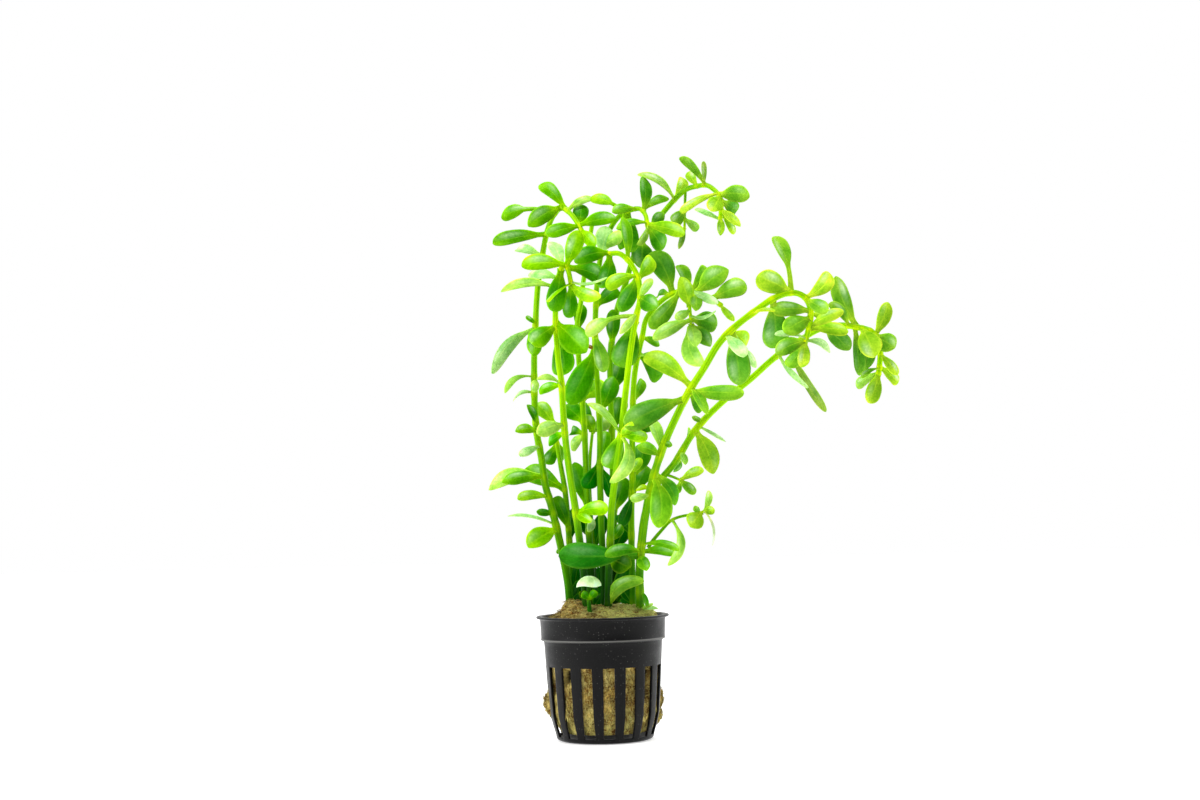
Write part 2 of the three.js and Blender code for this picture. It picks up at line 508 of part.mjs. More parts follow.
      [15.3, 70, -16.6, 71.3, 10.5, -9, 10, -0.6, 0.3],
    ],
  },
  low_side_shoot: {
    colour: 0x8dbf33,
    radii: [0.75, 0.5],
    route: [
      [18.4, 73.7, -8.2], [20.6, 76.7, -8], [24, 80.5, -7], [27.5, 84, -6], [31, 85.5, -6],
      [37, 86.5, -5], [41, 87.5, -5],
    ],
    leaves: [
      [28, 84, 26.7, 66.6, 5.5, -4, 45, 2.8], [39.5, 87, 35.3, 81.5, 7.5, -3],
      [38.5, 87, 37, 89.5, 2.5, -2], [40.8, 87.5, 45, 88, 3.5, -2],
      [41, 87.5, 43.3, 95.5, 3.5, 2, 30], [41, 87, 44, 74, 2, -1, 60, 1],
    ],
  },
  right_lower_shoot: {
    colour: 0x78b222,
    radii: [1.45, 1.1],
    route: [
      [14.6, 47, 8], [14.8, 62, 10], [15.6, 75, 11], [17.8, 88, 12], [22.3, 98, 12.5],
      [29.7, 106.7, 13], [38.1, 119.4, 13], [48.7, 130, 13], [60.7, 139.3, 12], [70.4, 147.5, 11],
      [82.3, 155.2, 10], [88, 158.2, 9], [96, 159.7, 8], [104, 158.6, 7], [109, 156.8, 6],
      [112, 151.5, 5], [111.8, 145, 5], [111, 139.5, 5],
    ],
    twigs: [[[26, 102.3, 12.7], [29.5, 101, 11], [32, 99.8, 9.5]]],
    leaves: [
      [32, 99.3, 41, 103.6, 5, -3, 35, 0.3], [32, 99.8, 37.2, 94.2, 4.5, -3, 25],
      [32, 99.8, 29.5, 95, 3.5, 3, 20], [31, 109.5, 30, 103, 4, 4, 45],
      [33, 112, 34, 106, 3, -4, 20], [32, 111.5, 36, 120.5, 3, 4, 60],
      [40, 122.8, 37, 124.8, 2.2, -2], [39, 120.2, 50.2, 114.8, 2.2, -2, 50, -0.3],
      [38.6, 119.8, 44.8, 102, 8, -4, 10, 1.2], [71.5, 148, 83.1, 135, 4, -4, 50, -2],
      [77, 151.5, 90, 125.5, 5.5, 3, 50, -2.2], [91, 159, 100, 150, 7.5, -4, 20],
      [100, 160, 92.5, 168.5, 5, -4, 30, 1], [103.5, 158.8, 95.5, 179.6, 7.3, 2, 15, -1.7],
      [102, 159, 103.6, 139.5, 6, 3, 30, -0.5], [105, 158.5, 110, 147, 9.5, -6, 10],
      [108, 157, 105.3, 141.5, 7, 5, 20], [110, 155.5, 116.2, 168.6, 6, 2, 20],
      [110.3, 156, 118, 150.2, 8, -4, 10], [112, 147.5, 118.5, 139.5, 4.5, -3, 30],
      [111.6, 143, 118.8, 136.3, 5, 3, 25], [111.5, 142, 104.5, 138.5, 4, -4, 60, 0.5],
      [111.2, 140, 102, 135.2, 5, 3, 30], [111, 140, 107.3, 128.4, 6.5, -2, 15],
    ],
  },
};

// A pale leaf at the foot that has folded over like a cap on its stalk
const CURLED_LEAF = { x: -5.6, depth: -15.5, foot: 47, underside: 59.1, radius: 4.3, height: 4 };

function curledLeaf(grow = 0) {
  const { x, depth, foot, underside, radius, height } = CURLED_LEAF;
  const route = [[x, foot, depth], [x - 0.6, 55, depth], [x - 0.2, 61, depth]];
  const stalk = stem(route, [1.2, 1.6], grow);
  const cap = new THREE.SphereGeometry(radius + grow, 10, 5, 0, 2 * Math.PI, 0, Math.PI / 2);
  const disc = new THREE.CircleGeometry(radius + grow, 10).rotateX(Math.PI / 2);
  const merged = new THREE.BufferGeometry();
  const joined = [...cap.toNonIndexed().attributes.position.array,
    ...disc.toNonIndexed().attributes.position.array];
  merged.setAttribute('position', new THREE.Float32BufferAttribute(joined, 3));
  merged.rotateX(Math.PI / 2).scale(1, 0.75, height / radius);
  const middle = place(x - 0.3, underside - grow, depth);
  merged.translate(middle.x, middle.y, middle.z);
  return join([stalk, solidOf(merged)]);
}

// Each shoot's stems keep their way, and a leaf is cut short where it would
// touch another shoot's stem or a leaf of a shoot before it.

const wool = woolPlug();
const tubes = {};
const clearance = {};
for (const [name, { route, radii, twigs = [] }] of Object.entries(SHOOTS)) {
  const branch = (grow) => join([
    stem(route, radii, grow),
    ...twigs.map((twig) => stem(twig, [0.6, 0.5], grow)),
  ]);
  tubes[name] = branch(0);
  clearance[name] = branch(GAP);
}

const solids = { net_pot: netPot() };
const leavesBefore = [curledLeaf(GAP)];
for (const [name, { route, twigs = [], leaves }] of Object.entries(SHOOTS)) {
  const stemOf = ([x, height]) => [route, ...twigs].reduce((best, next) => {
    const away = (points) => {
      const p = nearestPoint(points, x, height);
      return Math.hypot(p.x - x, p.z - height);
    };
    return away(next) < away(best) - GAP ? next : best;
  });
  const blades = (grow) => join(leaves.map((row) => leaf(stemOf(row), row, grow)));
  const others = Object.keys(SHOOTS).filter((other) => other !== name);
  const taken = [...others.map((other) => clearance[other]), ...leavesBefore];
  const crown = taken.reduce((rest, other) => rest.subtract(other), blades(0));
  solids[name] = largest(crown.add(tubes[name]));
  leavesBefore.push(blades(GAP));
}
solids.curled_leaf = curledLeaf();
solids.rock_wool = Object.values(clearance).reduce((rest, tube) => rest.subtract(tube), wool)
  .subtract(curledLeaf(GAP));

const part = new THREE.Group();
function addPiece(name, colour, roughness) {
  const material = new THREE.MeshStandardMaterial({ color: colour, roughness, metalness: 0 });
  const mesh = new THREE.Mesh(geometryOf(solids[name]), material);
  mesh.name = name;
  part.add(mesh);
}

addPiece('net_pot', 0x2a2b2c, 0.55);
addPiece('rock_wool', 0xb59b5e, 1);
for (const [name, { colour }] of Object.entries(SHOOTS)) addPiece(name, colour, 0.4);
addPiece('curled_leaf', 0xcfe8c0, 0.45);

export default part;
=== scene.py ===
# %% [markdown]
# # A potted aquarium plant
#
# Thirteen leafy shoots grow from a plug of rock wool in a slotted black net
# pot. The solids of the frame already hold the true size and place of every
# stem and leaf. This lesson dresses them: thin cupped leaves, round stems,
# moulded plastic and fibrous wool, each exactly where its solid is.

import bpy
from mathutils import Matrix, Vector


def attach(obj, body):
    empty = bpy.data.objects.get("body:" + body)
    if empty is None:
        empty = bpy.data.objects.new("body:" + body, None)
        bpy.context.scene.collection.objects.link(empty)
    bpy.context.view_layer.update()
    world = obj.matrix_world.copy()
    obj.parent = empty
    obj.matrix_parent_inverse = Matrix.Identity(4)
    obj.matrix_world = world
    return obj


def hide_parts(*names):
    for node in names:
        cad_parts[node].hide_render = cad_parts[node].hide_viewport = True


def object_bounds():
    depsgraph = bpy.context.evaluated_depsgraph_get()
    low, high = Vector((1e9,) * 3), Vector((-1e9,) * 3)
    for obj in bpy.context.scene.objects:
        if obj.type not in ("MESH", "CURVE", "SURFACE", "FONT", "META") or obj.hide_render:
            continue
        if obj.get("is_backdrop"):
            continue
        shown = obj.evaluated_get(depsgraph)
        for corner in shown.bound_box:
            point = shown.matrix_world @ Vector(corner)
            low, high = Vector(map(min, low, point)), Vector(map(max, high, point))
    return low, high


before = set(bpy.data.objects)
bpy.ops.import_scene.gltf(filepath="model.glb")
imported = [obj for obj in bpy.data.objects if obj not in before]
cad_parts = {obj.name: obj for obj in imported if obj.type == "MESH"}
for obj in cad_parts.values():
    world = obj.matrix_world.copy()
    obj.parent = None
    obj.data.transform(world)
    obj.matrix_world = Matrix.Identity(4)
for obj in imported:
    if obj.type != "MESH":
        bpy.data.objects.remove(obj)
cad_box = [list(corner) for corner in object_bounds()]
print("box of the solids, metres:", cad_box)

# %% What the lesson uses
import math
import random

import bmesh
import bpy
import numpy as np
from mathutils import Matrix, Vector, noise

MM = 0.001
BODY = "root"


def add_object(name, data):
    made = bpy.data.objects.new(name, data)
    bpy.context.scene.collection.objects.link(made)
    return made


print("measures below are millimetres, turned into metres by", MM)

# %% [markdown]
# ## Camera
#
# The photographer stood level with the lower leaves, with the camera turned
# up a little and rolled a little. Writing the three axes of the camera as a
# matrix keeps both turns exact, where aiming it at a point would lose the
# roll.

# %% Camera
EYE = np.array([0.9, -700.0, 85.0])
LENS = 53.34
PITCH = math.radians(3.86)
ROLL = math.radians(1.3)


def camera_matrix():
    """Sideways, upward and backward axes of the camera, and its place."""
    forward = np.array([0.0, math.cos(PITCH), math.sin(PITCH)])
    level = np.array([1.0, 0.0, 0.0])
    upright = np.cross(level, forward)
    right = level * math.cos(ROLL) - upright * math.sin(ROLL)
    up = level * math.sin(ROLL) + upright * math.cos(ROLL)
    matrix = np.eye(4)
    matrix[:3] = np.stack([right, up, -forward, EYE * MM], axis=1)
    return Matrix(matrix.tolist())


camera = add_object("camera", bpy.data.cameras.new("camera"))
camera.data.lens = LENS
camera.matrix_world = camera_matrix()
bpy.context.scene.camera = camera
print("camera", round(-EYE[1]), "mm in front of the pot's axis")

# %% [markdown]
# ## Shader nodes
#
# A material is a small network of nodes. A few helpers keep each network
# short: they add a node and plug its sockets in, multiply, tint and layer
# colours, or start a node group with named sockets. A value that is the
# same all over a surface is set on the shader's own socket, so that it
# survives an export.

# %% Nodes and colours


def wire(tree, kind, feeds=None, **settings):
    """Adds a node, sets it up, and feeds its sockets with links or values."""
    made = tree.nodes.new("ShaderNode" + kind)
    for key, value in settings.items():
        setattr(made, key, value)
    plug(tree, made, feeds or {})
    return made


def plug(tree, node, feeds):
    """Feeds a node's sockets, each with a link or a value."""
    for socket, feed in feeds.items():
        if isinstance(feed, bpy.types.NodeSocket):
            tree.links.new(feed, node.inputs[socket])
        else:
            node.inputs[socket].default_value = feed


def maths(tree, operation, *feeds):
    node = wire(tree, "Math", dict(enumerate(feeds)), operation=operation)
    return node.outputs[0]


def times(tree, first, second):
    return maths(tree, "MULTIPLY", first, second)


def smooth_range(tree, value, low, high, to_low=0.0, to_high=1.0):
    """A soft step: to_low below low, to_high above high."""
    feeds = {"Value": value, "From Min": low, "From Max": high,
             "To Min": to_low, "To Max": to_high}
    node = wire(tree, "MapRange", feeds, interpolation_type="SMOOTHSTEP")
    return node.outputs["Result"]


def blend(tree, share, first, second, how="MIX"):
    """Mixes two colours. Sockets 0, 6 and 7 are the share and the colours."""
    feeds = {0: share, 6: first, 7: second}
    node = wire(tree, "Mix", feeds, data_type="RGBA", blend_type=how)
    return node.outputs[2]


def tint(tree, colour, by):
    return blend(tree, 1.0, colour, (*by, 1.0), "MULTIPLY")


def layer(tree, colour, mask, share, over):
    """Lays a second colour over the first, by a share of the mask."""
    return blend(tree, times(tree, mask, share), colour, over)


def read_point(tree, label, output="Fac"):
    """What the points of a mesh carry under a label."""
    return wire(tree, "Attribute", attribute_name=label).outputs[output]


def object_place(tree):
    return wire(tree, "TexCoord").outputs["Object"]


def noise_at(tree, spot, scale, detail):
    return wire(tree, "TexNoise", {"Vector": spot, "Scale": scale, "Detail": detail}).outputs[0]


def bumps(tree, height, strength, distance):
    feeds = {"Height": height, "Strength": strength, "Distance": distance}
    return wire(tree, "Bump", feeds).outputs[0]


def linear(red, green, blue):
    """A colour as a screen shows it, 0 to 255, turned into light."""
    def light(value):
        share = value / 255
        return share / 12.92 if share <= 0.04045 else ((share + 0.055) / 1.055) ** 2.4
    return (light(red), light(green), light(blue), 1.0)


print("pure green as light:", [round(c, 3) for c in linear(0, 128, 0)])

# %% Groups and materials


def new_group(name, inputs, outputs):
    """A node group. Each input is a label with its value."""
    group = bpy.data.node_groups.new(name, "ShaderNodeTree")
    for label, value in inputs.items():
        kind = "NodeSocketVector" if np.size(value) == 3 else "NodeSocketFloat"
        socket = group.interface.new_socket(label, in_out="INPUT", socket_type=kind)
        socket.default_value = value
    for label in outputs:
        group.interface.new_socket(label, in_out="OUTPUT", socket_type="NodeSocketFloat")
    return group, group.nodes.new("NodeGroupInput").outputs, group.nodes.new("NodeGroupOutput")


def use_group(tree, group, **feeds):
    """A group at work. A label's blank is written as an underscore."""
    node = tree.nodes.new("ShaderNodeGroup")
    node.node_tree = group
    plug(tree, node, {label.replace("_", " "): feed for label, feed in feeds.items()})
    return node.outputs


def new_material(name, **shader_values):
    """A material, its tree and its shader, with the constants set on it."""
    material = bpy.data.materials.new(name)
    material.use_nodes = True
    shader = material.node_tree.nodes["Principled BSDF"]
    for label, value in shader_values.items():
        shader.inputs[label.replace("_", " ")].default_value = value
    return material, material.node_tree, shader


print("materials so far:", len(bpy.data.materials))

# %% [markdown]
# ## Effects that several finishes share
#
# Mottle is the soft patchiness of anything that grew or was cast: two sizes
# of noise added up. Veins draws a leaf's pale midrib and its side veins
# from two numbers that every leaf point carries, how far along the blade it
# is and how far across. Specks scatters tiny pale grains. They are groups,
# so that each material can use them with its own values.

# %% Mottle
BROAD_SHARE, FINE_SHARE = 0.65, 0.35
FINER = 5.0

mottle, given, result = new_group(
    "Mottle", {"Place": (0.0, 0.0, 0.0), "Patch Size": 0.006, "Contrast": 0.5}, ["Mask"])
patches = maths(mottle, "DIVIDE", 1.0, given["Patch Size"])
broad = noise_at(mottle, given["Place"], patches, 2.0)
fine = noise_at(mottle, given["Place"], times(mottle, patches, FINER), 3.0)
both = maths(mottle, "ADD", times(mottle, broad, BROAD_SHARE), times(mottle, fine, FINE_SHARE))
swing = times(mottle, maths(mottle, "SUBTRACT", both, 0.5), given["Contrast"])
answer = maths(mottle, "MULTIPLY_ADD", swing, 4.0, 0.5)
plug(mottle, result, {"Mask": wire(mottle, "Clamp", {"Value": answer}).outputs[0]})


def mottled(tree, spot, size, contrast):
    return use_group(tree, mottle, Place=spot, Patch_Size=size, Contrast=contrast)["Mask"]


print("mottle:", len(mottle.nodes), "nodes")

# %% Veins
SIDE_VEINS = 9.0
VEIN_SWEEP = -0.28

veins, given, result = new_group(
    "Veins", {"Along": 0.0, "Across": 0.0, "Rib Width": 0.1}, ["Rib", "Side", "Height"])
away = maths(veins, "ABSOLUTE", given["Across"])
rib = smooth_range(veins, maths(veins, "DIVIDE", away, given["Rib Width"]), 0.3, 1.0, 1.0, 0.0)
rib = times(veins, rib, smooth_range(veins, given["Along"], 0.55, 0.98, 1.0, 0.0))
swept = maths(veins, "MULTIPLY_ADD", away, VEIN_SWEEP, given["Along"])
ripple = maths(veins, "SINE", times(veins, swept, SIDE_VEINS * 2 * math.pi))
side = times(veins, smooth_range(veins, ripple, 0.72, 1.0), smooth_range(veins, away, 0.9, 0.5))
groove = maths(veins, "MULTIPLY_ADD", rib, -1.0, times(veins, side, -0.3))
plug(veins, result, {"Rib": rib, "Side": side, "Height": groove})
print("veins:", len(veins.nodes), "nodes")

# %% Specks
specks, given, result = new_group(
    "Specks", {"Place": (0.0, 0.0, 0.0), "Spacing": 0.001, "Share": 0.3}, ["Mask"])
cells = wire(specks, "TexVoronoi", {"Vector": given["Place"],
                                    "Scale": maths(specks, "DIVIDE", 1.0, given["Spacing"])})
dot = smooth_range(specks, cells.outputs["Distance"], 0.12, 0.3, 1.0, 0.0)
draw = wire(specks, "SeparateColor", {0: cells.outputs["Color"]}).outputs[0]
kept = maths(specks, "LESS_THAN", draw, given["Share"])
plug(specks, result, {"Mask": times(specks, dot, kept)})
print("specks:", len(specks.nodes), "nodes")

# %% [markdown]
# ## Studio
#
# The plant stands in a bright white tent that is darker on the camera's
# side, which is why the black pot shows dark in the middle and grey toward
# its sides. The world gives that even light, three soft lamps model the
# leaves and the pot, and the floor is as white as the background. A lamp is
# its place, its width and its power, in metres and watts.

# %% Light and floor
FRONT_LIGHT = 0.2
ROOM_LIGHT = 1.0
LAMPS = {
    "lamp_left": ((-0.75, -0.35, 0.5), 0.4, 6.0),
    "lamp_top": ((0.1, 0.05, 0.95), 0.5, 6.0),
    "lamp_right": ((0.75, 0.3, 0.35), 0.4, 2.5),
}
LAMP_TARGET = Vector((0.02, 0.0, 0.12))
FLOOR_HALF = 3.0
FLOOR_LEVEL = -0.0002

world = bpy.data.worlds.new("white tent")
bpy.context.scene.world = world
world.use_nodes = True
sky = world.node_tree
direction = wire(sky, "TexCoord").outputs["Generated"]
toward_back = wire(sky, "SeparateXYZ", {0: direction}).outputs["Y"]
strength = smooth_range(sky, toward_back, -0.9, 0.1, FRONT_LIGHT, ROOM_LIGHT)
seen = wire(sky, "LightPath").outputs["Is Camera Ray"]
plug(sky, sky.nodes["Background"], {
    "Strength": maths(sky, "MAXIMUM", strength, seen), "Color": (1.0, 1.0, 1.0, 1.0)})
bpy.context.scene.view_settings.view_transform = "Standard"

for name, (spot, width, watts) in LAMPS.items():
    lamp = add_object(name, bpy.data.lights.new(name, "AREA"))
    lamp.data.size = width
    lamp.data.energy = watts
    lamp.location = spot
    lamp.rotation_mode = "QUATERNION"
    lamp.rotation_quaternion = (Vector(spot) - LAMP_TARGET).to_track_quat("Z", "Y")

floor_mesh = bpy.data.meshes.new("floor")
corners = [(-1, -1), (1, -1), (1, 1), (-1, 1)]
floor_mesh.from_pydata([(x * FLOOR_HALF, y * FLOOR_HALF, FLOOR_LEVEL) for x, y in corners],
                       [], [(0, 1, 2, 3)])
floor = add_object("floor", floor_mesh)
white, _, _ = new_material("white floor", Base_Color=(0.9, 0.9, 0.9, 1.0), Roughness=0.9,
                           Emission_Color=(1.0, 1.0, 1.0, 1.0), Emission_Strength=0.4)
floor_mesh.materials.append(white)
floor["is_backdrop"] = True
print("lamps:", ", ".join(LAMPS))

# %% [markdown]
# ## The shoots
#
# These are the same measures as the solids have, in millimetres. A route point is x, height and depth
# behind the pot's axis. A leaf is x and height of its base and of its tip, its width, its lean back
# or forward, its turn away from the front in degrees, the bow of its middle, and the share of it that
# is stalk. The last values of a row can be left out. The tones name each leaf's colour, in the same
# order. The light of a shoot is the painted light and shade of its stem: how bright the stem is.

# %% Table of shoots
SHOOTS = {
    "left_tall_shoot": {
        "radii": [1.6, 0.95], "light": 0.74,
        "route": [
          [-12.5, 47, 2], [-13.2, 60, 3], [-14.8, 70, 4], [-16.8, 80, 5], [-19, 90, 6],
          [-21.5, 100, 7], [-22.7, 110, 8], [-24.2, 119, 9], [-24.9, 130, 10], [-24.9, 140, 11],
          [-24.7, 150, 12], [-24, 162, 13], [-22.7, 178, 14], [-20.3, 192, 14], [-18.5, 200, 13],
          [-16, 206, 12], [-12.7, 209, 10], [-9, 206.5, 7], [-5.5, 201, 4], [-3.5, 196, 2],
        ],
        "leaves": [
          [-18, 82, -28.8, 75, 8.5, -5, 20, 0.5], [-18, 83, -36.5, 87.5, 2.6, 3, 60],
          [-19, 88, -25, 88.8, 3, -2], [-20.5, 94.5, -32.5, 94, 5, -4, 35, 0.5],
          [-22, 101.5, -44, 98, 6.5, 3, 15, 2.8], [-22, 101.5, -38.5, 100.7, 7, -4, 40, 0.6],
          [-23.5, 115, -31, 111, 4.5, -8, 45], [-24.5, 120, -32.8, 120.7, 4.5, -6, 30, 0.5],
          [-24.6, 124, -28, 131, 4, -6, 40], [-24.9, 135, -24.5, 140.5, 3.5, -4],
          [-25, 135, -33.5, 132.5, 3, 3, 60, 1.5], [-25, 141.5, -36.8, 136.3, 4.5, -3, 60, 2.2],
          [-25, 161.5, -41.3, 143.5, 6, -3, 25, -4], [-24.5, 161, -25, 151, 6.5, -9, 15],
          [-24, 162.5, -27.5, 166, 2, -3], [-18.5, 198.5, -40.3, 195.7, 7, -3, 30, 0.3],
          [-20.5, 189.5, -31, 193, 5, 8, 30], [-15.5, 207, -36.8, 206, 6.5, 2, 15, 2.2, 0.55],
          [-13, 209, -26, 202, 7.5, -5, 15, 1], [-10.5, 208.5, -20.5, 219.5, 6.5, 3, 30],
          [-9.5, 208.5, 0.5, 213, 4.5, 4, 35, 0.8], [-5, 201.5, -19, 198.4, 6.5, -4, 30, 0],
          [-4.5, 202, 9, 204.5, 6, -3, 25, 0.5], [-4, 200, 0.5, 193.5, 5, -6],
          [-5, 202, -4.6, 210.5, 6.5, 5],
        ],
        "tones": ("lime mint dark fresh pale green mint lime dark pale mint pale mint green "
            "green green mint green green green pale green green lime dark"),
    },
    "left_back_shoot": {
        "radii": [1.4, 0.85], "light": 0.7,
        "route": [
          [-10.5, 47, 8], [-11.6, 62, 10], [-12.3, 75, 12], [-12.8, 86, 14], [-13.8, 98, 16],
          [-15.2, 107, 17], [-16.5, 116, 18], [-17.5, 124, 18],
        ],
        "leaves": [
          [-14, 96.5, -29.5, 106, 9, 4, 15], [-12.2, 73, -17.5, 73, 2.5, -3],
          [-16.5, 116, -21, 107, 5.5, 5, 10], [-16.5, 115.5, -14, 108.5, 4, 6, 30],
          [-17.5, 123, -24.5, 131.5, 6.5, 3, 10, 0.5], [-12.5, 82, -17.6, 94.5, 6, -3, 20],
          [-12.4, 77, -10.2, 90, 5, 3, 20], [-11.4, 57, -9, 68.5, 4.5, -2, 10],
        ],
        "tones": "green green dark green fresh dark deep deep",
    },
    "front_left_shoot": {
        "radii": [1.5, 0.95], "light": 0.95,
        "route": [
          [-6, 47, -9], [-7, 64, -11], [-8.2, 76, -12], [-9.8, 90, -13.5], [-11.2, 100, -14.5],
          [-12.4, 110, -15.5], [-13.3, 120, -16.5], [-13.8, 130, -17], [-14.2, 140, -17.5],
          [-15.1, 147, -18], [-15.6, 155, -18], [-16, 165, -18], [-15.5, 175, -17.5],
          [-14, 183, -17], [-12, 186.5, -16.5], [-10.6, 184, -16.5], [-9.5, 178.5, -16.5],
        ],
        "leaves": [
          [-6.4, 54.5, -9, 56.8, 3, -3], [-9.4, 86.8, -3.8, 84.5, 4, -4, 20],
          [-9.6, 88, 3, 89.5, 6, -4, 15, 0.8], [-13.5, 122, -24, 119.5, 6.5, -5, 30, 0.5],
          [-13.3, 119, -20, 115.5, 5, 5, 30], [-14.5, 138.5, -23.5, 136.5, 5, 4, 30],
          [-15, 137, -24, 141, 3.5, -6, 60, 1.5], [-15.5, 161.5, -25.5, 155, 8.5, -4, 20, 0.6],
          [-15.5, 160, -13.2, 142, 9.5, 5, 14, 0.8], [-15.5, 164, -4.3, 151, 11, -3, 10, 0.3],
          [-15.8, 177.5, -37.3, 176.8, 5.5, -4, 50, 0.6], [-14.5, 181, -26.5, 183.5, 5.5, 6, 35],
          [-12, 185.5, -29, 186.4, 7.5, -5, 30, 0.8], [-11.5, 185.5, -6, 200, 7, -3, 15],
          [-12.5, 186, -17, 196, 6, 5, 20], [-13, 184.5, -16.5, 168, 8, -4, 10],
          [-10.8, 185, 3, 180, 8, 5, 20, 1], [-9.5, 178.5, -19, 172, 5, -5, 65],
          [-9.5, 178.5, -10.3, 165, 6.5, 4, 25, -0.5], [-9.3, 178.5, 1.5, 173, 6, -6, 25, -1.5],
          [-9.3, 179, 5, 181, 2.5, -4, 70, -3],
        ],
        "tones": ("green lime lime pale dark green pale green dark green pale mint lime lime "
            "mint dark dark lime dark fresh mint"),
    },
    "middle_shoot": {
        "radii": [1.4, 0.9], "light": 0.7,
        "route": [
          [-3, 47, 6], [-3.8, 62, 7], [-4.5, 76, 8], [-4.9, 90, 9], [-5.2, 105, 10], [-5.5, 120, 10],
          [-6.2, 135, 10], [-7.2, 150, 10], [-7.4, 163, 10], [-6, 170, 11], [-4.5, 180, 12],
          [-2.5, 192, 13], [-0.5, 203, 14],
        ],
        "leaves": [
          [-5.5, 120, -11, 113, 5, 5, 30], [-5.5, 119, -11, 120, 4.5, 7, 20],
          [-6, 132, 4.5, 138, 8, 4, 15, 0.5], [-5.6, 124, -13, 130.5, 8, 4, 15],
          [-5, 90, -9.8, 108, 7, 4, 15], [-7.2, 160, -5.8, 171, 5.5, 3, 10],
          [-3.2, 51, -6.8, 63, 5.5, 2, 10],
        ],
        "tones": "pale dark fresh dark dark dark deep",
    },
    "thin_middle_shoot": {
        "radii": [0.9, 0.6], "light": 0.75,
        "route": [[-2.5, 47, 12], [-3.2, 75, 15], [-4, 100, 18], [-3.5, 110, 19], [-2.3, 120, 20]],
        "leaves": [
          [-2.3, 120, -8, 131, 7, 4, 10], [-2.3, 120.5, 4.5, 124.5, 6.5, -3, 15],
          [-2.5, 119.5, -5, 126.5, 5, -4, 20], [-3.1, 76, -8.6, 89.5, 7, 4, 10],
          [-3, 74, 1.3, 87.5, 6, 3, 10], [-2.8, 55, -1, 66.5, 4.5, 2, 10],
        ],
        "tones": "dark pale lime deep deep deep",
    },
    "centre_shoot": {
        "radii": [1.35, 0.9], "light": 0.66,
        "route": [
          [0.8, 47, -1], [0.6, 65, -1], [0.4, 80, -1], [0.2, 95, -1], [0.3, 107, -1], [0.6, 120, -1],
          [0.2, 135, -1], [-0.6, 152, -1], [0, 168, 1], [1, 180, 4], [4, 195, 7], [10, 205, 8],
          [16, 207.9, 6], [18.8, 207.8, 4], [20.6, 205.5, 2], [21.4, 200.7, 0],
        ],
        "leaves": [
          [-0.8, 153, -11, 131, 10, -4, 10], [-0.3, 158, 2.8, 143.5, 6, -4, 10],
          [16.5, 208, 7.5, 207, 5, -5, 40, 0.5], [12, 206.5, -1, 213, 5.5, 3, 25, 0.8, 0.4],
          [20, 207, 20.3, 221, 6, 3, 30, 0.3], [19.5, 207.3, 29.5, 212.5, 5, 6, 40],
          [21.4, 201.5, 36, 197.3, 6, -4, 20, 0.3], [21, 202, 9, 200.5, 4.5, -4, 45, 0.5],
          [21.4, 201, 27.5, 191.5, 7.5, 4, 20], [21.4, 201, 17, 193.5, 3.5, -6, 45],
          [2.8, 190, 5.5, 201, 8, -4], [4, 193.5, 11, 198, 5.5, -7, 20],
          [0.3, 107, -5.8, 97.5, 7, 4, 15], [0.3, 106.5, 4.4, 94, 5.5, 5, 25],
          [12.5, 206, 10.5, 192, 6, -3, 20], [0.7, 170, 9, 176.5, 6.5, 3, 15],
          [0.4, 108, 3.4, 120, 4.5, 4, 20], [14, 207, 15.3, 190.5, 5.5, 3, 20],
          [0.4, 128, 7, 141.5, 7, 5, 10],
        ],
        "tones": ("dark olive green lime dark green lime green dark olive mint pale deep deep "
            "dark dark green dark dark"),
    },
    "front_centre_shoot": {
        "radii": [1.5, 1], "light": 1.1,
        "route": [
          [2.2, 47, -8], [2.6, 62, -10], [3.6, 76, -12], [4.6, 90, -14], [6.3, 102, -15],
          [7.6, 110, -16], [9.2, 120, -17], [10.4, 130, -17.5], [11.5, 138, -18], [12.7, 147, -18],
          [14, 155, -18], [16, 165, -17], [17.8, 173, -16], [16.8, 181, -14], [14, 186.5, -13],
          [10, 190.2, -12], [5, 190.3, -11],
        ],
        "leaves": [
          [2.4, 52.5, 16.2, 61.2, 5.6, -4, 15, 3.1, 0.08],
          [3, 69, 11, 66, 8, -4, 10], [3.6, 76, 8.5, 83, 4, 4, 20],
          [8.8, 119, 3.5, 105, 8.5, 4, 10], [8.7, 118.5, -4, 131, 5.5, -3, 60, 0.5],
          [9.2, 118.5, 4.6, 99.5, 5.5, -6, 10, 4.6], [9.3, 117.5, 19, 116.8, 5.5, -4, 35, 0.3],
          [9.3, 118, 13.5, 123, 4, -5, 30], [15.3, 163, 9, 145, 10.5, 3, 10],
          [15.8, 166, 9.5, 158.5, 3.2, -5], [16, 165.5, -4, 158.5, 6.5, -4, 25, 2, 0.55],
          [17.8, 172, 22.5, 180, 4, -3, 30, -0.5], [17.8, 172.5, 24, 168.5, 7, -7],
          [16.8, 181.5, 4.5, 176.5, 6, -4, 30, 1], [16.8, 181, 9.5, 167, 7, 3, 20],
          [17, 180, 23.5, 188, 7, 3, 25, -0.5], [13, 187.5, 12, 205, 5.5, 3, 30],
          [6, 190.4, -8, 187.5, 7.5, -4, 25, 1], [5.5, 190.4, 2.5, 176.5, 7.5, 2, 15, 1],
        ],
        "tones": ("olive dark dark green pale pale lime fresh dark pale pale pale dark lime "
            "dark lime green dark dark"),
    },
    "right_middle_shoot": {
        "radii": [1.3, 0.95], "light": 0.9,
        "route": [
          [12, 47, 4], [12, 62, 5], [12, 76, 6], [12.3, 90, 6.5], [13, 102, 7], [13.3, 118, 7.5],
          [13.8, 130, 8], [14.8, 142, 8.5], [16.4, 150, 9], [18.2, 157, 9], [20, 164, 9],
          [25, 170, 8], [31, 174, 6], [37, 174.9, 4], [42, 173, 2], [46, 171.3, 1], [50, 168.5, 0],
        ],
        "leaves": [
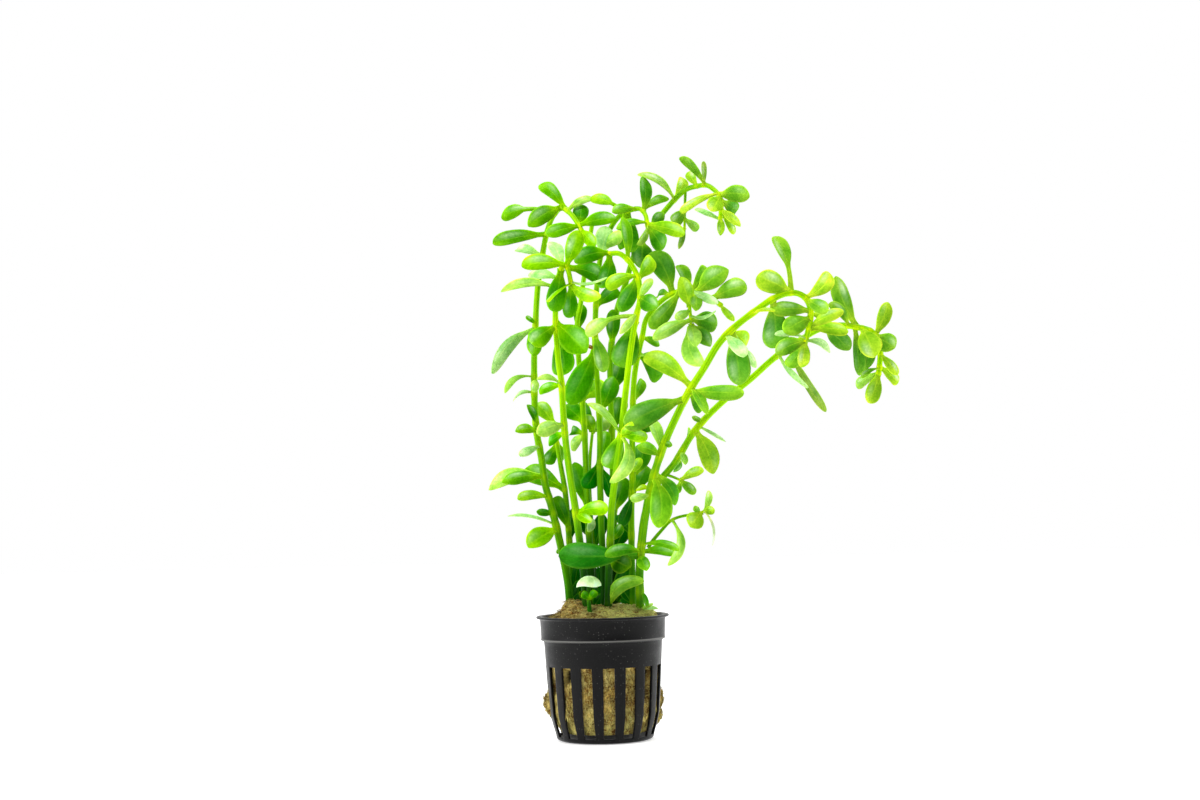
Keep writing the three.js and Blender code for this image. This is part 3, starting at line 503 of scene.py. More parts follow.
          [13.3, 102.5, 16.4, 108.8, 3.5, -3], [16.2, 149, 24, 149.5, 5, -3, 70, 0.5],
          [16.3, 149.5, 24.3, 139.5, 7.5, 3, 20, 1], [29.5, 173.3, 24.5, 172.5, 4, 6, 50, 0.5],
          [30.5, 174, 23, 191, 10, 2, 15, 1], [33, 174.5, 21, 160.5, 7, -4, 20, 0.5],
          [37, 175, 33.5, 185.5, 6, 3, 30], [38, 175, 44.5, 184, 6.5, 3, 25],
          [40, 174, 53, 183, 9, -3, 20, 0.5], [40, 173.5, 39.5, 167, 5, -5],
          [46, 171.3, 60, 176.5, 8, -3, 20, 0.5], [49, 169, 54.8, 162.5, 3.5, -3, 40, -0.5],
          [12.3, 94, 8, 82.5, 5, -4, 20], [12, 78, 6.5, 87, 4.5, 3, 20],
          [13, 101, 18.6, 114.5, 8, 4, 10], [13.4, 119.5, 21, 122, 6, 3, 20],
          [18.2, 157, 25, 153.5, 4, 3, 30], [13.9, 131, 18.2, 140, 4.5, 3, 20],
          [12.6, 95, 19, 106, 7, 3, 10], [12, 52, 9.5, 63.5, 6, 3, 10],
          [38, 174, 48.5, 169.5, 4, -5, 30, -0.5],
        ],
        "tones": ("fresh pale dark dark dark green green green green green green lime deep deep "
            "dark dark green green dark deep mint"),
    },
    "hanging_side_shoot": {
        "radii": [0.8, 0.55], "light": 0.95,
        "route": [[36.6, 173.4, 4], [37, 170, 3], [37.3, 166.5, 2], [37.5, 164, 1.5],
                  [37.5, 160.5, 1.5]],
        "leaves": [
          [36.8, 169, 34, 180.5, 6.5, -6, 10], [37.2, 167, 31.5, 163.5, 4, -4, 20],
          [37.5, 163, 22.5, 155.8, 6.5, -4, 30, 0.3], [37.3, 165, 47.5, 166.5, 3.5, -3, 60, -2.5],
          [37.5, 163.5, 48, 160.8, 8.5, 2, 15, 0.5], [37.5, 161, 45, 152.3, 6.5, -4, 20],
          [37.5, 161, 39, 152.5, 6, -5, 20], [37.4, 161.2, 41.3, 144.5, 7.5, 4, 15, -3.2],
        ],
        "tones": "lime pale pale mint dark dark pale pale",
    },
    "back_shoot": {
        "radii": [1.35, 0.9], "light": 0.62,
        "route": [
          [5, 47, 13], [5.2, 80, 17], [5.3, 110, 20], [5.2, 135, 22], [5.4, 150, 23], [7, 160, 23],
          [8.5, 168, 23], [12, 178, 22], [16, 190, 21], [22, 200, 19], [27, 205.5, 17], [32, 211, 15],
          [37, 215.3, 12], [41, 216.5, 10], [45, 216.9, 8], [47.9, 215.2, 6], [50.4, 212, 4],
          [50.8, 208, 3], [50.3, 203, 2],
        ],
        "twigs": [[[36.8, 215.5, 12], [36.3, 207, 13], [36, 199, 13]]],
        "leaves": [
          [19.5, 196, 18.5, 184.5, 9, -6, 10], [44.5, 217.8, 35, 228.5, 4.5, -2, 40],
          [44, 217.8, 44.3, 226.5, 2.5, -3, 30], [41, 217.3, 37.8, 222.5, 4, 3],
          [32.3, 211, 18, 222, 5.5, -3, 50, 1.3], [32, 211, 36.8, 220, 5.5, 4, 20],
          [50.3, 213, 62.3, 212, 7.2, -3, 10, 0.8], [51, 210.5, 57, 206, 6, 4, 15],
          [50.5, 212.5, 47, 206.5, 7, -5], [50, 213.5, 34.5, 206.7, 4.5, -4, 40, 0.3],
          [50.3, 203, 40.5, 208, 4, 4, 50, -1], [50.4, 204, 50.2, 196.6, 3.2, -2, 10],
          [50.8, 207, 58.3, 200, 3.6, -3, 15], [50.7, 206.5, 55.8, 197, 3.2, 2, 15],
          [36.2, 207, 31.5, 202, 5.5, -2, 10], [36.2, 203, 41.5, 199, 4, 0, 20],
          [36, 200, 33.5, 191.5, 2.5, 0, 20], [5.3, 120, 9.6, 133, 6.5, 3, 10],
          [5.2, 134, 9.8, 147.5, 7, 3, 10], [5.2, 87, 9.8, 101.5, 8, -3, 10],
          [5.2, 74, 10, 83.5, 7, -3, 10], [5.1, 54, 10.5, 66, 8, -3, 10],
          [22.5, 200.5, 28, 206, 5, -3, 20],
          [6, 155, 7, 168, 6, -4, 10],
        ],
        "tones": ("dark green olive lime pale fresh green dark lime fresh mint lime fresh lime "
            "green pale olive dark dark dark deep deep dark dark"),
    },
    "right_upper_shoot": {
        "radii": [1.65, 1.1], "light": 0.92,
        "route": [
          [14.8, 47, -5], [14.8, 62, -7], [15.3, 70, -8], [16.5, 79, -9], [17.8, 87, -10],
          [19.5, 95, -11], [22, 104, -12], [26.1, 115, -13.5], [30.6, 124.5, -15], [35.8, 134.3, -16],
          [42.1, 143.7, -17], [48.7, 153.9, -18], [55.3, 160.3, -18], [63.1, 166.1, -18],
          [70.2, 170.8, -18],
          [75.5, 172.8, -17], [80, 172.8, -16], [83.5, 170.5, -15], [85, 166, -14], [84.4, 160, -13],
          [82.5, 153.5, -12],
        ],
        "leaves": [
          [15.5, 71.5, 2, 71.5, 5, -11, 25, 0.8], [16, 70.5, 17.5, 65, 5, -7],
          [15.5, 71.5, 29.7, 71, 6, 3, 45], [16.3, 75.5, 30.7, 72.6, 5, -4, 55, 0.6],
          [19.3, 94, 12.5, 92.5, 4.5, -5, 45], [20, 97.5, 14, 96.5, 3, 4, 40],
          [21.5, 102, 22.7, 81.3, 9, -6, 10, 1.8], [21.8, 103, 30, 90, 5.5, 5, 20, 1.5],
          [24, 110, 15.5, 113.5, 5, -4, 25, 0.5], [24.3, 111, 20.8, 124.5, 5, 3, 25],
          [25.8, 114, 28.8, 113.5, 2.5, -3], [33.5, 131.5, 10.5, 121.7, 10, -5, 10, 0.8],
          [36.5, 136, 18.8, 149.5, 8.5, 3, 20, 0.9], [36.5, 135.5, 57.8, 133.8, 7, -4, 25, -0.8],
          [35.5, 135.5, 41.3, 127.5, 7, 4, 20], [36.5, 136, 43, 125.5, 4.5, -5, 30],
          [53, 158.5, 56.5, 136.7, 9.5, 3, 10], [51.5, 156.5, 58.7, 148.5, 6, -6, 30],
          [52, 158.5, 58.8, 151.5, 8.5, 5, 20, 1.3], [54, 159, 63.8, 143.8, 4.5, 6, 40, -1, 0.5],
          [62, 165.3, 71, 166, 3, -4, 60], [69.5, 170.5, 70.3, 151, 10.5, 3, 10, 0.5],
          [77, 173.8, 64, 179.8, 9, -2, 10, 0.5], [77.5, 173.5, 72, 196, 6.6, 3, 20, 1.2, 0.45],
          [84.9, 165.5, 70, 166.4, 6.5, -3, 20, 0.5], [84.7, 162.5, 74.5, 157.5, 8, -5, 15, 0.5],
          [82.9, 155, 70.5, 156.5, 4, -7, 60, 0.8], [84.5, 170, 91.5, 165, 6, -5, 20],
          [83, 171, 93.3, 180.5, 7, 2, 20, -2], [84.4, 159, 98, 165.5, 6, -3, 35, 0.5],
          [84.4, 158.5, 100, 157.5, 6, 3, 30], [85, 165, 92, 162, 4, 4, 20],
          [82.6, 153.8, 71, 149, 7, -3, 20, 0.5], [82.6, 153.8, 75.5, 143.5, 6, 3, 20],
          [82.5, 153.5, 81, 143.5, 5, -4, 10], [82.5, 153.5, 92.3, 149, 4, -2, 40, 1.6],
          [14.8, 56, 17.6, 51, 2, -3, 20, 0.6],
          [15.3, 70, -16.6, 71.3, 10.5, -9, 10, -0.6, 0.3],
        ],
        "tones": ("dark green green green pale yellow green dark green pale green dark lime "
            "green dark green dark mint lime mint yellow dark lime green green green mint "
            "green fresh fresh lime lime green green fresh mint dark shaded"),
    },
    "low_side_shoot": {
        "radii": [0.75, 0.5], "light": 1.0,
        "route": [
          [18.4, 73.7, -8.2], [20.6, 76.7, -8], [24, 80.5, -7], [27.5, 84, -6], [31, 85.5, -6],
          [37, 86.5, -5], [41, 87.5, -5],
        ],
        "leaves": [
          [28, 84, 26.7, 66.6, 5.5, -4, 45, 2.8], [39.5, 87, 35.3, 81.5, 7.5, -3],
          [38.5, 87, 37, 89.5, 2.5, -2], [40.8, 87.5, 45, 88, 3.5, -2],
          [41, 87.5, 43.3, 95.5, 3.5, 2, 30], [41, 87, 44, 74, 2, -1, 60, 1],
        ],
        "tones": "pale lime green lime pale withered",
    },
    "right_lower_shoot": {
        "radii": [1.45, 1.1], "light": 0.95,
        "route": [
          [14.6, 47, 8], [14.8, 62, 10], [15.6, 75, 11], [17.8, 88, 12], [22.3, 98, 12.5],
          [29.7, 106.7, 13], [38.1, 119.4, 13], [48.7, 130, 13], [60.7, 139.3, 12], [70.4, 147.5, 11],
          [82.3, 155.2, 10], [88, 158.2, 9], [96, 159.7, 8], [104, 158.6, 7], [109, 156.8, 6],
          [112, 151.5, 5], [111.8, 145, 5], [111, 139.5, 5],
        ],
        "twigs": [[[26, 102.3, 12.7], [29.5, 101, 11], [32, 99.8, 9.5]]],
        "leaves": [
          [32, 99.3, 41, 103.6, 5, -3, 35, 0.3], [32, 99.8, 37.2, 94.2, 4.5, -3, 25],
          [32, 99.8, 29.5, 95, 3.5, 3, 20], [31, 109.5, 30, 103, 4, 4, 45],
          [33, 112, 34, 106, 3, -4, 20], [32, 111.5, 36, 120.5, 3, 4, 60],
          [40, 122.8, 37, 124.8, 2.2, -2], [39, 120.2, 50.2, 114.8, 2.2, -2, 50, -0.3],
          [38.6, 119.8, 44.8, 102, 8, -4, 10, 1.2], [71.5, 148, 83.1, 135, 4, -4, 50, -2],
          [77, 151.5, 90, 125.5, 5.5, 3, 50, -2.2], [91, 159, 100, 150, 7.5, -4, 20],
          [100, 160, 92.5, 168.5, 5, -4, 30, 1], [103.5, 158.8, 95.5, 179.6, 7.3, 2, 15, -1.7],
          [102, 159, 103.6, 139.5, 6, 3, 30, -0.5], [105, 158.5, 110, 147, 9.5, -6, 10],
          [108, 157, 105.3, 141.5, 7, 5, 20], [110, 155.5, 116.2, 168.6, 6, 2, 20],
          [110.3, 156, 118, 150.2, 8, -4, 10], [112, 147.5, 118.5, 139.5, 4.5, -3, 30],
          [111.6, 143, 118.8, 136.3, 5, 3, 25], [111.5, 142, 104.5, 138.5, 4, -4, 60, 0.5],
          [111.2, 140, 102, 135.2, 5, 3, 30], [111, 140, 107.3, 128.4, 6.5, -2, 15],
        ],
        "tones": ("fresh green green dark pale green green mint lime mint olive dark green green "
            "dark lime dark lime green lime lime green pale lime"),
    },
}

# %% [markdown]
# ## Leaf tones
#
# The same plant shows many greens: leaves in the shade of the bunch are dark, young ones are lime,
# and one that shows its underside is pale. Each leaf has a word for its tone in the table. The colour
# is written on the points of its mesh, so all leaves can share one material. Dark leaves have less of
# the painted highlight, and the darkest less young green at their ends. Painted bunch shade darkens
# stems and leaves low in the middle of the bunch.

# %% Tones
SCREEN_TONES = {
    "deep": (0, 100, 0), "shaded": (14, 118, 0), "dark": (58, 144, 0), "green": (94, 172, 0),
    "olive": (112, 166, 40), "lime": (134, 200, 0), "fresh": (158, 216, 24),
    "yellow": (172, 214, 0), "pale": (172, 220, 84), "mint": (182, 228, 138),
    "withered": (192, 208, 146), "cream": (224, 246, 180), "rust": (190, 116, 30),
}
TONES = {word: linear(*screen) for word, screen in SCREEN_TONES.items()}
UNDERSIDES = ("pale", "mint")
# Tones spared the painted bunch shade: deep and shaded already hold painted shade, and olive stays
# light.
SPARED_BUNCH_SHADE = ("deep", "shaded", "olive")
YOUTH = {"deep": 0.1, "shaded": 0.2}
HIGHLIGHT_SHARE = {"deep": 0.1, "shaded": 0.2, "dark": 0.5, "green": 0.8}
STEM_FOOT = linear(50, 130, 0)
STEM_TOP = linear(140, 202, 0)
NODE_TONE = linear(196, 222, 6)
BUNCH_RADIUS = 15.0
BUNCH_FOOT, BUNCH_TOP = 67.0, 88.0
BUNCH_DARKNESS = 0.78


def mixed(first, second, share):
    return np.asarray(first) + (np.asarray(second) - np.asarray(first)) * share


def clamp(value):
    return min(1.0, max(0.0, value))


def bunch_shade(point):
    """Painted shade: points low in the bunch and near its middle are darkened, where the bunch shades
    itself.
    """
    inside = clamp(2 * (1 - abs(point[0]) / BUNCH_RADIUS))
    low = clamp((BUNCH_TOP - point[2]) / (BUNCH_TOP - BUNCH_FOOT))
    return 1 - BUNCH_DARKNESS * inside * low


print(len(TONES), "tones")

# %% [markdown]
# ## One skin for stems and leaves
#
# A stem and a leaf are both a row of closed rings with a skin over them,
# ended by a point at each side. Rings are easy to bend, widen and cup, and
# the skin comes out as clean quads. Every point also keeps its tone and how
# far along and across it lies, for the materials to read.

# %% Skins over rings
BLADE, STALK = 0, 1


def new_body():
    return {"points": [], "faces": [], "finish": [], "tone": [], "along": [],
            "across": [], "count": 0}


def add_skin(body, rings, tips, finish, tone, along, across):
    """Rings are (n, m, 3). Tone, along and across fit (n, m, ...)."""
    n, m = rings.shape[:2]
    tone = np.broadcast_to(tone, (n, m, 4))
    along = np.broadcast_to(along, (n, m))
    across = np.broadcast_to(across, (n, m))
    body["points"].append(np.vstack([rings.reshape(-1, 3), tips]))
    body["tone"].append(np.vstack([tone.reshape(-1, 4), tone[0, 0], tone[-1, 0]]))
    body["along"].append(np.concatenate([along.ravel(), [along[0, 0], along[-1, 0]]]))
    body["across"].append(np.concatenate([across.ravel(), [0.0, 0.0]]))
    first = body["count"]
    last, tip = first + (n - 1) * m, first + n * m
    sides = [(j, (j + 1) % m) for j in range(m)]
    for low in range(first, last, m):
        high = low + m
        body["faces"] += [(low + j, low + k, high + k, high + j) for j, k in sides]
    for j, k in sides:
        body["faces"] += [(first + k, first + j, tip), (last + j, last + k, tip + 1)]
    body["finish"] += [finish] * (n + 1) * m
    body["count"] += n * m + 2


print("a skin with 16 rings of 16 points has", 15 * 16 + 32, "faces")

# %% Pieces


def face_outward(mesh):
    """Turns every face outward, smooth. Returns how many edges are open."""
    shape = bmesh.new()
    shape.from_mesh(mesh)
    bmesh.ops.recalc_face_normals(shape, faces=shape.faces)
    open_edges = sum(1 for edge in shape.edges if not edge.is_manifold)
    shape.to_mesh(mesh)
    shape.free()
    mesh.polygons.foreach_set("use_smooth", [True] * len(mesh.polygons))
    return open_edges


def make_piece(name, body, materials, nodes=()):
    """Turns a body into an object that rides with the part."""
    mesh = bpy.data.meshes.new(name)
    points = np.vstack(body["points"]) * MM
    mesh.from_pydata(points.tolist(), [], body["faces"])
    tone = mesh.attributes.new("tone", "FLOAT_COLOR", "POINT")
    tone.data.foreach_set("color", np.vstack(body["tone"]).astype(np.float32).ravel())
    for label in ("along", "across"):
        values = np.concatenate(body[label]).astype(np.float32)
        mesh.attributes.new(label, "FLOAT", "POINT").data.foreach_set("value", values)
    mesh.polygons.foreach_set("material_index", body["finish"])
    face_outward(mesh)
    for material in materials:
        mesh.materials.append(material)
    piece = add_object(name, mesh)
    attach(piece, BODY)
    if nodes:
        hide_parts(*nodes)


print("every piece rides with", BODY)

# %% [markdown]
# ## Routes
#
# A stem is a smooth curve through the points of its route. The curve is the
# centripetal Catmull-Rom kind, which passes through every point without
# loops or overshoot, and it is the one that the solids follow.

# %% Curves through places
TRIES_PER_POINT = 6


def place(x, depth, height):
    """A point as it looks from the front, slid along the sight line."""
    on_plane = np.stack([x, np.zeros_like(x), height], axis=-1)
    slide = 1 - np.asarray(depth) / EYE[1]
    return (on_plane - EYE) * slide[..., None] + EYE


def curve_through(route, shares):
    """Points of the curve as x, depth, height, at shares of its length."""
    points = np.array(route, dtype=float)[:, [0, 2, 1]]
    before, after = 2 * points[0] - points[1], 2 * points[-1] - points[-2]
    padded = np.vstack([before, points, after])
    found = []
    for share in shares:
        step = clamp(share) * (len(points) - 1)
        i = min(int(step), len(points) - 2)
        w = step - i
        p0, p1, p2, p3 = padded[i:i + 4]
        d0, d1, d2 = (np.linalg.norm(b - a) ** 0.5 for a, b in ((p0, p1), (p1, p2), (p2, p3)))
        t1 = ((p1 - p0) / d0 - (p2 - p0) / (d0 + d1) + (p2 - p1) / d1) * d1
        t2 = ((p2 - p1) / d1 - (p3 - p1) / (d1 + d2) + (p3 - p2) / d2) * d1
        found.append(p1 + t1 * w + (3 * (p2 - p1) - 2 * t1 - t2) * w ** 2
                     + (2 * (p1 - p2) + t1 + t2) * w ** 3)
    return np.array(found)


def on_route(route, shares):
    return place(*curve_through(route, shares).T)


def nearest_share(route, x, height):
    """Where on a route a leaf joins that looks to start at x, height."""
    shares = np.linspace(0, 1, len(route) * TRIES_PER_POINT + 1)
    points = curve_through(route, shares)
    away = np.hypot(points[:, 0] - x, points[:, 2] - height)
    best = int(np.argmin(away))
    return shares[best], away[best], points[best]


def unit(vector):
    return vector / np.linalg.norm(vector)


print("routes:", sum(1 + len(s.get("twigs", [])) for s in SHOOTS.values()))

# %% [markdown]
# ## Stems
#
# The stems are soft, round and jointed: they thicken a little at each node,
# where leaves join, and they are paler there and toward the tip. A tube of
# rings shows all of it. The sideways direction is carried along the route
# from ring to ring, so the tube never twists.

# %% Stem tubes
STEM_SIDES = 12
MEASURED_AT = 60
RING_SPACING = 1.1
LOOK_AHEAD = 0.004
NODE_SWELL, NODE_REACH = 0.13, 1.3
NODE_PALENESS, EXTRA_AT_TIP = 0.25, 0.45
TONE_START, TONE_RISE = 50.0, 85.0
TIP_BRIGHTNESS = 1.1
RED_FADE = 1.5
BLUNT_END = 0.7
MM_PER_STREAK = 100
TWIG_RADII = (0.6, 0.5)


def add_stem(body, route, radii, joints, light):
    """A tube along the route, swollen at the shares where leaves join."""
    rough = on_route(route, np.linspace(0, 1, MEASURED_AT))
    length = np.linalg.norm(np.diff(rough, axis=0), axis=1).sum()
    shares = np.linspace(0, 1, int(length / RING_SPACING) + 2)
    ahead = on_route(route, shares + LOOK_AHEAD) - on_route(route, shares - LOOK_AHEAD)
    turns = np.arange(STEM_SIDES) * 2 * math.pi / STEM_SIDES
    cosines, sines = np.cos(turns)[:, None], np.sin(turns)[:, None]
    across = np.array([1.0, 0.0, 0.0])
    rings, tones = [], []
    for share, centre, along in zip(shares, on_route(route, shares), ahead):
        along = unit(along)
        across = unit(across - along * across.dot(along))
        near = max([math.exp(-((share - joint) * length / NODE_REACH) ** 2)
                    for joint in joints], default=0.0)
        radius = (radii[0] + (radii[1] - radii[0]) * share) * (1 + NODE_SWELL * near)
        rings.append(centre + radius * (cosines * across + sines * np.cross(along, across)))
        tone = mixed(STEM_FOOT, STEM_TOP, clamp((centre[2] - TONE_START) / TONE_RISE))
        tone = mixed(tone, NODE_TONE, (NODE_PALENESS + EXTRA_AT_TIP * share) * near)
        # Painted light and shade: the shoot's light, rising toward the tip, times the painted bunch
        # shade.
        dim = (light + (TIP_BRIGHTNESS - light) * share ** 3) * bunch_shade(centre)
        tones.append(tone * (dim ** RED_FADE, dim, dim, 1.0))
    rings = np.array(rings)
    end = rings[-1].mean(axis=0) + unit(ahead[-1]) * radii[1] * BLUNT_END
    tips = np.array([rings[0].mean(axis=0), end])
    add_skin(body, rings, tips, STALK, np.array(tones)[:, None, :],
             shares[:, None] * length / MM_PER_STREAK, cosines.T)


print("a ring of the stems every", RING_SPACING, "mm")

# %% [markdown]
# ## Leaves
#
# The leaves are thick, soft and spoon shaped: a narrow stalk, a blade that
# is widest past its middle, and a round tip. Each is a thin closed solid.
# Its rings follow the same line as the keeled blade of the frame, and they
# add what makes it a leaf: a groove along the midrib, a thin margin, a
# cupped or rolled blade, a wave along the edge and a slight twist. A seeded
# die gives each leaf its own amounts, in the order of the table of habits,
# each between its least and its most.

# %% Leaf measures
LEAF_STALK = 0.154
SMALL_LEAF, SMALL_STALK = 16, 0.14
FULL_STALK = 0.12
BASE_FULLNESS, STALKLESS_FULLNESS = 1.0, 0.6
LEAN_STEP = 1.7
LEAF_ARCH = 0.05
NECK_MOST, NECK_LEAST, NECK_GROWTH = 1.1, 0.3, 0.1
NECK_FADE, ROOT_FLARE = 1.8, 0.5
BLADE_THICK, STALK_THICK = 0.42, 0.5
THIN_BELOW, THINNEST = 0.8, 0.35
GROOVE, KEEL, RIB_REACH, RIB_RISE, RIB_FADE = 0.16, 0.26, 0.22, 4, 0.7
EDGE_LAG = 1.4
TWIST_FROM = 0.35
ROOT_DEPTH = 0.6
HABITS = {
    "fullness": (0.42, 0.75), "arch": (-0.01, 0.035), "droop": (0.0, 0.05),
    "cup": (-0.12, 0.42), "wave": (0.01, 0.05), "beats": (1.2, 2.2), "late": (0.0, 6.3),
    "twist": (-16.0, 16.0), "luck": (-0.08, 0.08), "highlight_place": (0.6, 0.8), "highlight": (0.1, 1.0),
}
ALONG = np.array([0.0, 0.05, 0.11, 0.18, 0.25, 0.32, 0.4, 0.48, 0.56, 0.64, 0.72, 0.79,
                  0.85, 0.9, 0.94, 0.97, 0.988])[:, None]
OVER = np.array([-1, -0.84, -0.54, -0.2, 0, 0.2, 0.54, 0.84, 1.0])
ACROSS = np.concatenate([OVER, OVER[-2:0:-1]])[None, :]
UPPER = np.concatenate([np.ones(len(OVER)), -np.ones(len(OVER) - 2)])[None, :]
print("a leaf has", ALONG.size, "rings of", ACROSS.size, "points")

# %% Leaf shapes


def blade_width(share, base_fullness, tip_fullness):
    """Half width of the blade over its length, 1 at the widest place."""
    peak = base_fullness / (base_fullness + tip_fullness)
    most = peak ** base_fullness * (1 - peak) ** tip_fullness
    return share ** base_fullness * (1 - share) ** tip_fullness / most


def leaf_outline(on_blade, width, stalk, tip_fullness):
    """Half the width at each ring: a blade, and a neck that flares at its root."""
    base_fullness = STALKLESS_FULLNESS if stalk < FULL_STALK else BASE_FULLNESS
    neck = min(NECK_MOST, NECK_LEAST + NECK_GROWTH * width)
    neck = neck * np.clip(1 - on_blade * NECK_FADE, 0, 1) * (1 + ROOT_FLARE * (1 - ALONG) ** 8)
    return 0.5 * width * blade_width(on_blade, base_fullness, tip_fullness) + neck


def leaf_relief(on_blade, half, width, own):
    """How far the skin lies from a flat blade: thickness, cup, wave and rib."""
    thick = BLADE_THICK + STALK_THICK * (1 - ALONG) ** 2
    thick = thick * np.sqrt(1 - ACROSS ** 2) * np.clip(half / THIN_BELOW, THINNEST, 1)
    ripple = np.sin(2 * math.pi * own["beats"] * ALONG + own["late"] + EDGE_LAG * np.sign(ACROSS))
    cup = own["cup"] * half * ACROSS ** 2
    wave = own["wave"] * width * ripple * np.abs(ACROSS) * on_blade
    rib = np.clip(on_blade * RIB_RISE, 0, 1) * (1 - RIB_FADE * ALONG)
    rib = rib * np.exp(-(ACROSS / RIB_REACH) ** 2) * np.where(UPPER > 0, GROOVE, KEEL)
    return cup + wave + UPPER * thick / 2 - rib


def leaf_axes(start, axis, turn):
    """The leaf's sideways axis in the picture, and its own up and side."""
    along = unit(axis)
    facing = unit(EYE - start)
    facing = unit(facing - along * facing.dot(along))
    across = np.cross(along, facing)
    if (across[0] if abs(axis[2]) > abs(axis[0]) else across[2]) < 0:
        across = -across
    up = facing * math.cos(turn) + across * math.sin(turn)
    return across, up, np.cross(along, up)


def leaf_rings(base, row, own):
    """Rings, ends, shares along the blade and sideways axis of one leaf.

    A row may leave out its turn, bow and stalk, from the last one back.
    """
    left_out = [0, 0, LEAF_STALK][len(row) - 6:]
    _, _, tip_x, tip_height, width, lean, turn, bow, stalk = row + left_out
    start = place(*base)
    axis = place(np.float64(tip_x), base[1] + lean * LEAN_STEP, np.float64(tip_height)) - start
    length = np.linalg.norm(axis)
    across, up, side = leaf_axes(start, axis, math.radians(turn))
    if length < SMALL_LEAF:
        stalk = max(FULL_STALK, min(stalk, SMALL_STALK))
    on_blade = np.clip((ALONG - stalk) / (1 - stalk), 0, 1)
    half = leaf_outline(on_blade, width, stalk, own["fullness"])
    hump = 4 * ALONG * (1 - ALONG)
    arch = (LEAF_ARCH + own["arch"]) * length * hump - own["droop"] * length * ALONG ** 3
    twist = math.radians(own["twist"]) * (ALONG - TWIST_FROM) * (on_blade > 0)
    sideways = ACROSS * half * np.cos(twist)
    rise = leaf_relief(on_blade, half, width, own) + arch + ACROSS * half * np.sin(twist)
    middle = start + ALONG * axis + across * bow * hump
    rings = middle[:, None, :] + side * sideways[..., None] + up * rise[..., None]
    ends = np.array([start - unit(axis) * ROOT_DEPTH, start + axis + up * arch[-1, 0]])
    return rings, ends, on_blade, side


print("leaves shorter than", SMALL_LEAF, "mm have a short stalk")

# %% [markdown]
# ## Light and age painted on the leaves
#
# A leaf is young green at its stalk and its tip. Painted light makes its tip lighter than its base,
# and its half that faces the sky lighter, and a pale painted highlight lies along that half. Leaves
# that reach out to the right stand in the light: they are painted warmer, with a thin haze. Pale
# undersides are left out of that.

# %% Leaf colours
SKYWARD = np.array([-0.3, 0.0, 0.95])
FOLD_LIGHT, TIP_LIGHT = 0.38, 0.24
BACK_PALENESS = 0.45
STALK_YOUTH, STALK_FADE, TIP_YOUTH = 0.6, 3.0, 0.2
LIT_SIDE = (5.0, 40.0)
SUN_TONE = np.array([1.34, 1.04, 1.3, 1.0])
SUN_HAZE = np.array([0.028, 0.016, 0.016, 0.0])
BRIGHTEST = np.array([0.6, 0.86, 0.5, 1.0])
# Painted highlight: its strength, its tone, and where it lies on the blade.
PAINTED_HIGHLIGHT, HIGHLIGHT_TONE = 0.8, linear(236, 250, 206)
HIGHLIGHT_OFF_RIB, HIGHLIGHT_WIDE, HIGHLIGHT_LONG = 0.45, 0.25, 0.17


def leaf_tone(word, x, on_blade, lit, shade, own):
    """The colour of each point of a leaf that starts at x, with painted light, shade and highlight.
    """
    if word in UNDERSIDES:
        back, outward = TONES["lime"], 0.0
    else:
        back = mixed(TONES[word], TONES["pale"], BACK_PALENESS)
        outward = clamp((x - LIT_SIDE[0]) / (LIT_SIDE[1] - LIT_SIDE[0]))
    tone = np.where(UPPER[..., None] > 0, TONES[word], back) * shade * (1 + own["luck"])
    youth = YOUTH.get(word, 1.0)
    near_stalk = STALK_YOUTH * np.clip(1 - on_blade * STALK_FADE, 0, 1)
    tone = mixed(tone, STEM_TOP, near_stalk[..., None] * youth)
    near_tip = TIP_YOUTH * ALONG ** 6
    tone = mixed(tone, TONES["fresh"], near_tip[..., None] * youth)
    tone = tone * (1 + (SUN_TONE - 1) * outward) + SUN_HAZE * outward
    light = 1 + FOLD_LIGHT * lit * ACROSS + TIP_LIGHT * (ALONG - 0.5)
    tone = np.minimum(tone * light[..., None], BRIGHTEST)
    # Painted highlight: a pale patch along the half of the blade that faces the sky.
    highlight = np.exp(-((ACROSS * np.sign(lit) - HIGHLIGHT_OFF_RIB) / HIGHLIGHT_WIDE) ** 2
                   - ((ALONG - own["highlight_place"]) / HIGHLIGHT_LONG) ** 2)
    highlight = highlight * own["highlight"] * PAINTED_HIGHLIGHT * HIGHLIGHT_SHARE.get(word, 1.0) * (UPPER > 0)
    tone = mixed(tone, HIGHLIGHT_TONE, highlight[..., None])
    tone[..., 3] = 1.0
    return tone


def add_leaf(body, base, row, word, dice, shade):
    own = {habit: dice.uniform(*limits) for habit, limits in HABITS.items()}
    rings, ends, on_blade, side = leaf_rings(base, row, own)
    tone = leaf_tone(word, base[0], on_blade, side.dot(SKYWARD), shade, own)
    add_skin(body, rings, ends, BLADE, tone, ALONG, ACROSS)


print("the leaves in full light start", LIT_SIDE[1], "mm right of the pot's axis")

# %% [markdown]
# ## Leaf and stem finishes
#
# Fresh leaf tissue has a waxy skin over a body that light passes into. A thin soft coat stands for
# the skin, and a painted glow of the leaf's own colour, set as emission, for the light in its body.
# The material reads the tone from the mesh, mottles it, darkens the middle of the blade with painted
# shade, and draws the pale midrib and the side veins with colour and bump. Painted light lightens the
# margin, where the thin edge lets light through. A cap on the colour keeps pale leaves green at their
# edges.

# %% Leaf finish
PALEST = (0.62, 0.9, 0.6, 1.0)
PALE_LINE, LINE_TINT = linear(206, 240, 80), (1.9, 1.4, 1.6)
DARK_PATCH, LIGHT_PATCH = (0.45, 0.66, 0.4), (1.36, 1.18, 1.5)
HEART_SHADE_TINT, CELL_TINT = (0.5, 0.74, 0.5), (1.36, 1.2, 1.5)
